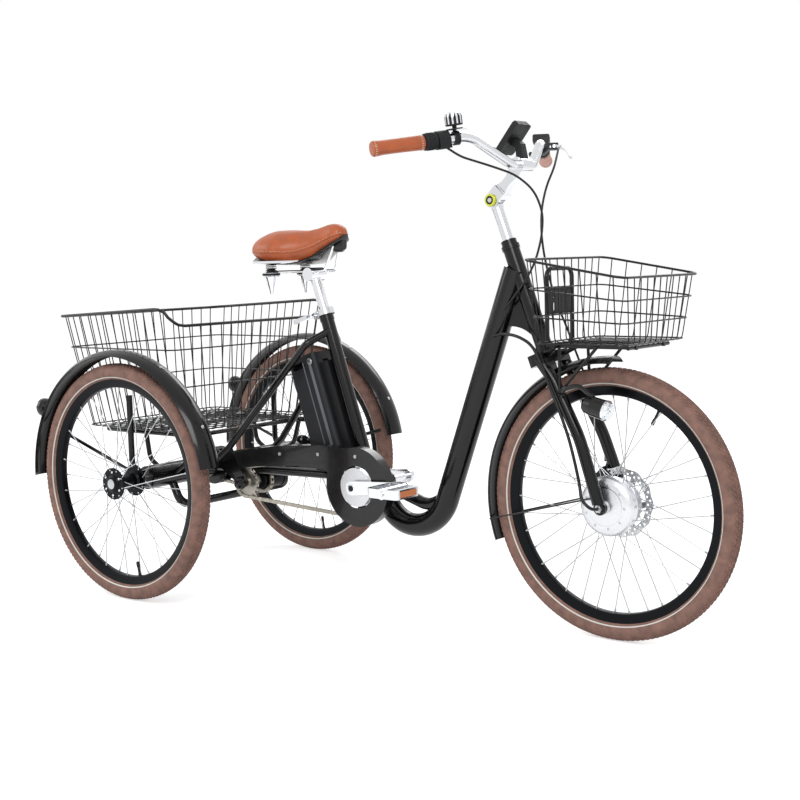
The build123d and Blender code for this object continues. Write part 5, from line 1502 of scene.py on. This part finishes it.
# ---------------------------------------------------------------- operators
class TRICYCLE_OT_stage(bpy.types.Operator):
    """Camera, floor, world and soft boxes"""

    bl_idname = "tricycle.stage"
    bl_label = "Studio"

    def execute(self, context):
        make_camera()
        make_world()
        make_floor()
        make_lamp("key_soft_box", (2.2, -3.4, 3.4), (2.6, 2.0), 95)
        make_lamp("fill_soft_box", (-3.6, -2.2, 2.4), (2.4, 2.4), 45)
        make_lamp("back_soft_box", (-1.0, 3.6, 3.2), (3.0, 1.6), 55)
        context.scene.view_settings.view_transform = "Standard"
        return {"FINISHED"}


class TRICYCLE_OT_tyres(bpy.types.Operator):
    """Three coloured tyres with chevron tread"""

    bl_idname = "tricycle.tyres"
    bl_label = "Tyres"

    def execute(self, context):
        make_tyre("front_tyre", FRONT_AXLE, "front_wheel")
        make_tyre("rear_tyre_right", REAR_RIGHT, "rear_wheel_right")
        make_tyre("rear_tyre_left", REAR_LEFT, "rear_wheel_left")
        return {"FINISHED"}


class TRICYCLE_OT_wheels(bpy.types.Operator):
    """Rims, spokes, hubs and valves"""

    bl_idname = "tricycle.wheels"
    bl_label = "Wheels"

    def execute(self, context):
        make_wheel("front_wheel", FRONT_AXLE, [(-18, 65.5), (23, 56.5)], "front_wheel",
                   62)
        for side, side_name in SIDE_NAMES:
            centre = REAR_RIGHT if side < 0 else REAR_LEFT
            name = f"rear_wheel_{side_name}"
            make_wheel(name, centre, [(-32 * side, 35), (35 * side, 35)], name, -80)
            rear_hub(name, centre, side, name)
        make_motor_trim()
        make_brake_disc()
        return {"FINISHED"}


class TRICYCLE_OT_chains(bpy.types.Operator):
    """Both roller chains"""

    bl_idname = "tricycle.chains"
    bl_label = "Chains"

    def execute(self, context):
        chain_line = Vector((0, DRIVE_CHAIN_SIDE, 0))
        axle_line = Vector((0, AXLE_CHAIN_SIDE, 0))
        rear_centre = Vector((REAR_X, 0, AXLE_HEIGHT))
        make_chain("drive_chain", GEAR_HUB + chain_line, DRIVER_TEETH,
                   CRANK + chain_line, CHAINRING_TEETH)
        make_chain("axle_chain", rear_centre + axle_line, AXLE_TEETH,
                   GEAR_HUB + axle_line, HUB_TEETH)
        return {"FINISHED"}


class TRICYCLE_OT_baskets(bpy.types.Operator):
    """Front and rear wire baskets"""

    bl_idname = "tricycle.baskets"
    bl_label = "Baskets"

    def execute(self, context):
        make_rear_basket()
        make_front_basket()
        return {"FINISHED"}


class TRICYCLE_OT_saddle(bpy.types.Operator):
    """Padded leather saddle"""

    bl_idname = "tricycle.saddle"
    bl_label = "Saddle"

    def execute(self, context):
        make_saddle()
        make_spring_rings()
        return {"FINISHED"}


class TRICYCLE_OT_cockpit(bpy.types.Operator):
    """Grips, shifter, bell and stem trim"""

    bl_idname = "tricycle.cockpit"
    bl_label = "Handlebar trim"

    def execute(self, context):
        make_grips()
        make_shifter_trim()
        make_bell_dome()
        make_stem_ring()
        return {"FINISHED"}


class TRICYCLE_OT_fittings(bpy.types.Operator):
    """Lenses, reflectors, battery trim and bolts"""

    bl_idname = "tricycle.fittings"
    bl_label = "Fittings"

    def execute(self, context):
        make_rear_lenses()
        make_pedal_reflectors()
        make_battery_trim()
        make_fender_bolts()
        make_headlight_bowl()
        make_crank_bolts()
        return {"FINISHED"}


class TRICYCLE_OT_finishes(bpy.types.Operator):
    """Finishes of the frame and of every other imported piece"""

    bl_idname = "tricycle.finishes"
    bl_label = "Finishes"

    def execute(self, context):
        finish_nodes()
        return {"FINISHED"}


STEPS = (
    "stage", "tyres", "wheels", "chains", "baskets", "saddle", "cockpit", "fittings", "finishes")


class TRICYCLE_PT_panel(bpy.types.Panel):
    """Lists the makers in the sidebar"""

    bl_idname = "TRICYCLE_PT_panel"
    bl_label = "Tricycle"
    bl_space_type = "VIEW_3D"
    bl_region_type = "UI"
    bl_category = "Tricycle"

    def draw(self, context):
        for step in STEPS:
            self.layout.operator(f"tricycle.{step}")
        for group in (context.scene.tricycle_sizes, context.scene.tricycle_colours):
            for key in group.__annotations__:
                self.layout.prop(group, key)


CLASSES = (
    TricycleSizes, TricycleColours, TRICYCLE_OT_stage, TRICYCLE_OT_tyres, TRICYCLE_OT_wheels,
    TRICYCLE_OT_chains, TRICYCLE_OT_baskets, TRICYCLE_OT_saddle, TRICYCLE_OT_cockpit,
    TRICYCLE_OT_fittings, TRICYCLE_OT_finishes, TRICYCLE_PT_panel)


def register():
    """Adds the classes and the settings to Blender."""
    for made_class in CLASSES:
        bpy.utils.register_class(made_class)
    bpy.types.Scene.tricycle_sizes = PointerProperty(type=TricycleSizes)
    bpy.types.Scene.tricycle_colours = PointerProperty(type=TricycleColours)


def unregister():
    """Takes them out again."""
    del bpy.types.Scene.tricycle_colours
    del bpy.types.Scene.tricycle_sizes
    for made_class in reversed(CLASSES):
        bpy.utils.unregister_class(made_class)


def main():
    """Runs every operator in order."""
    register()
    for step in STEPS:
        getattr(bpy.ops.tricycle, step)()


if __name__ == "__main__":
    main()
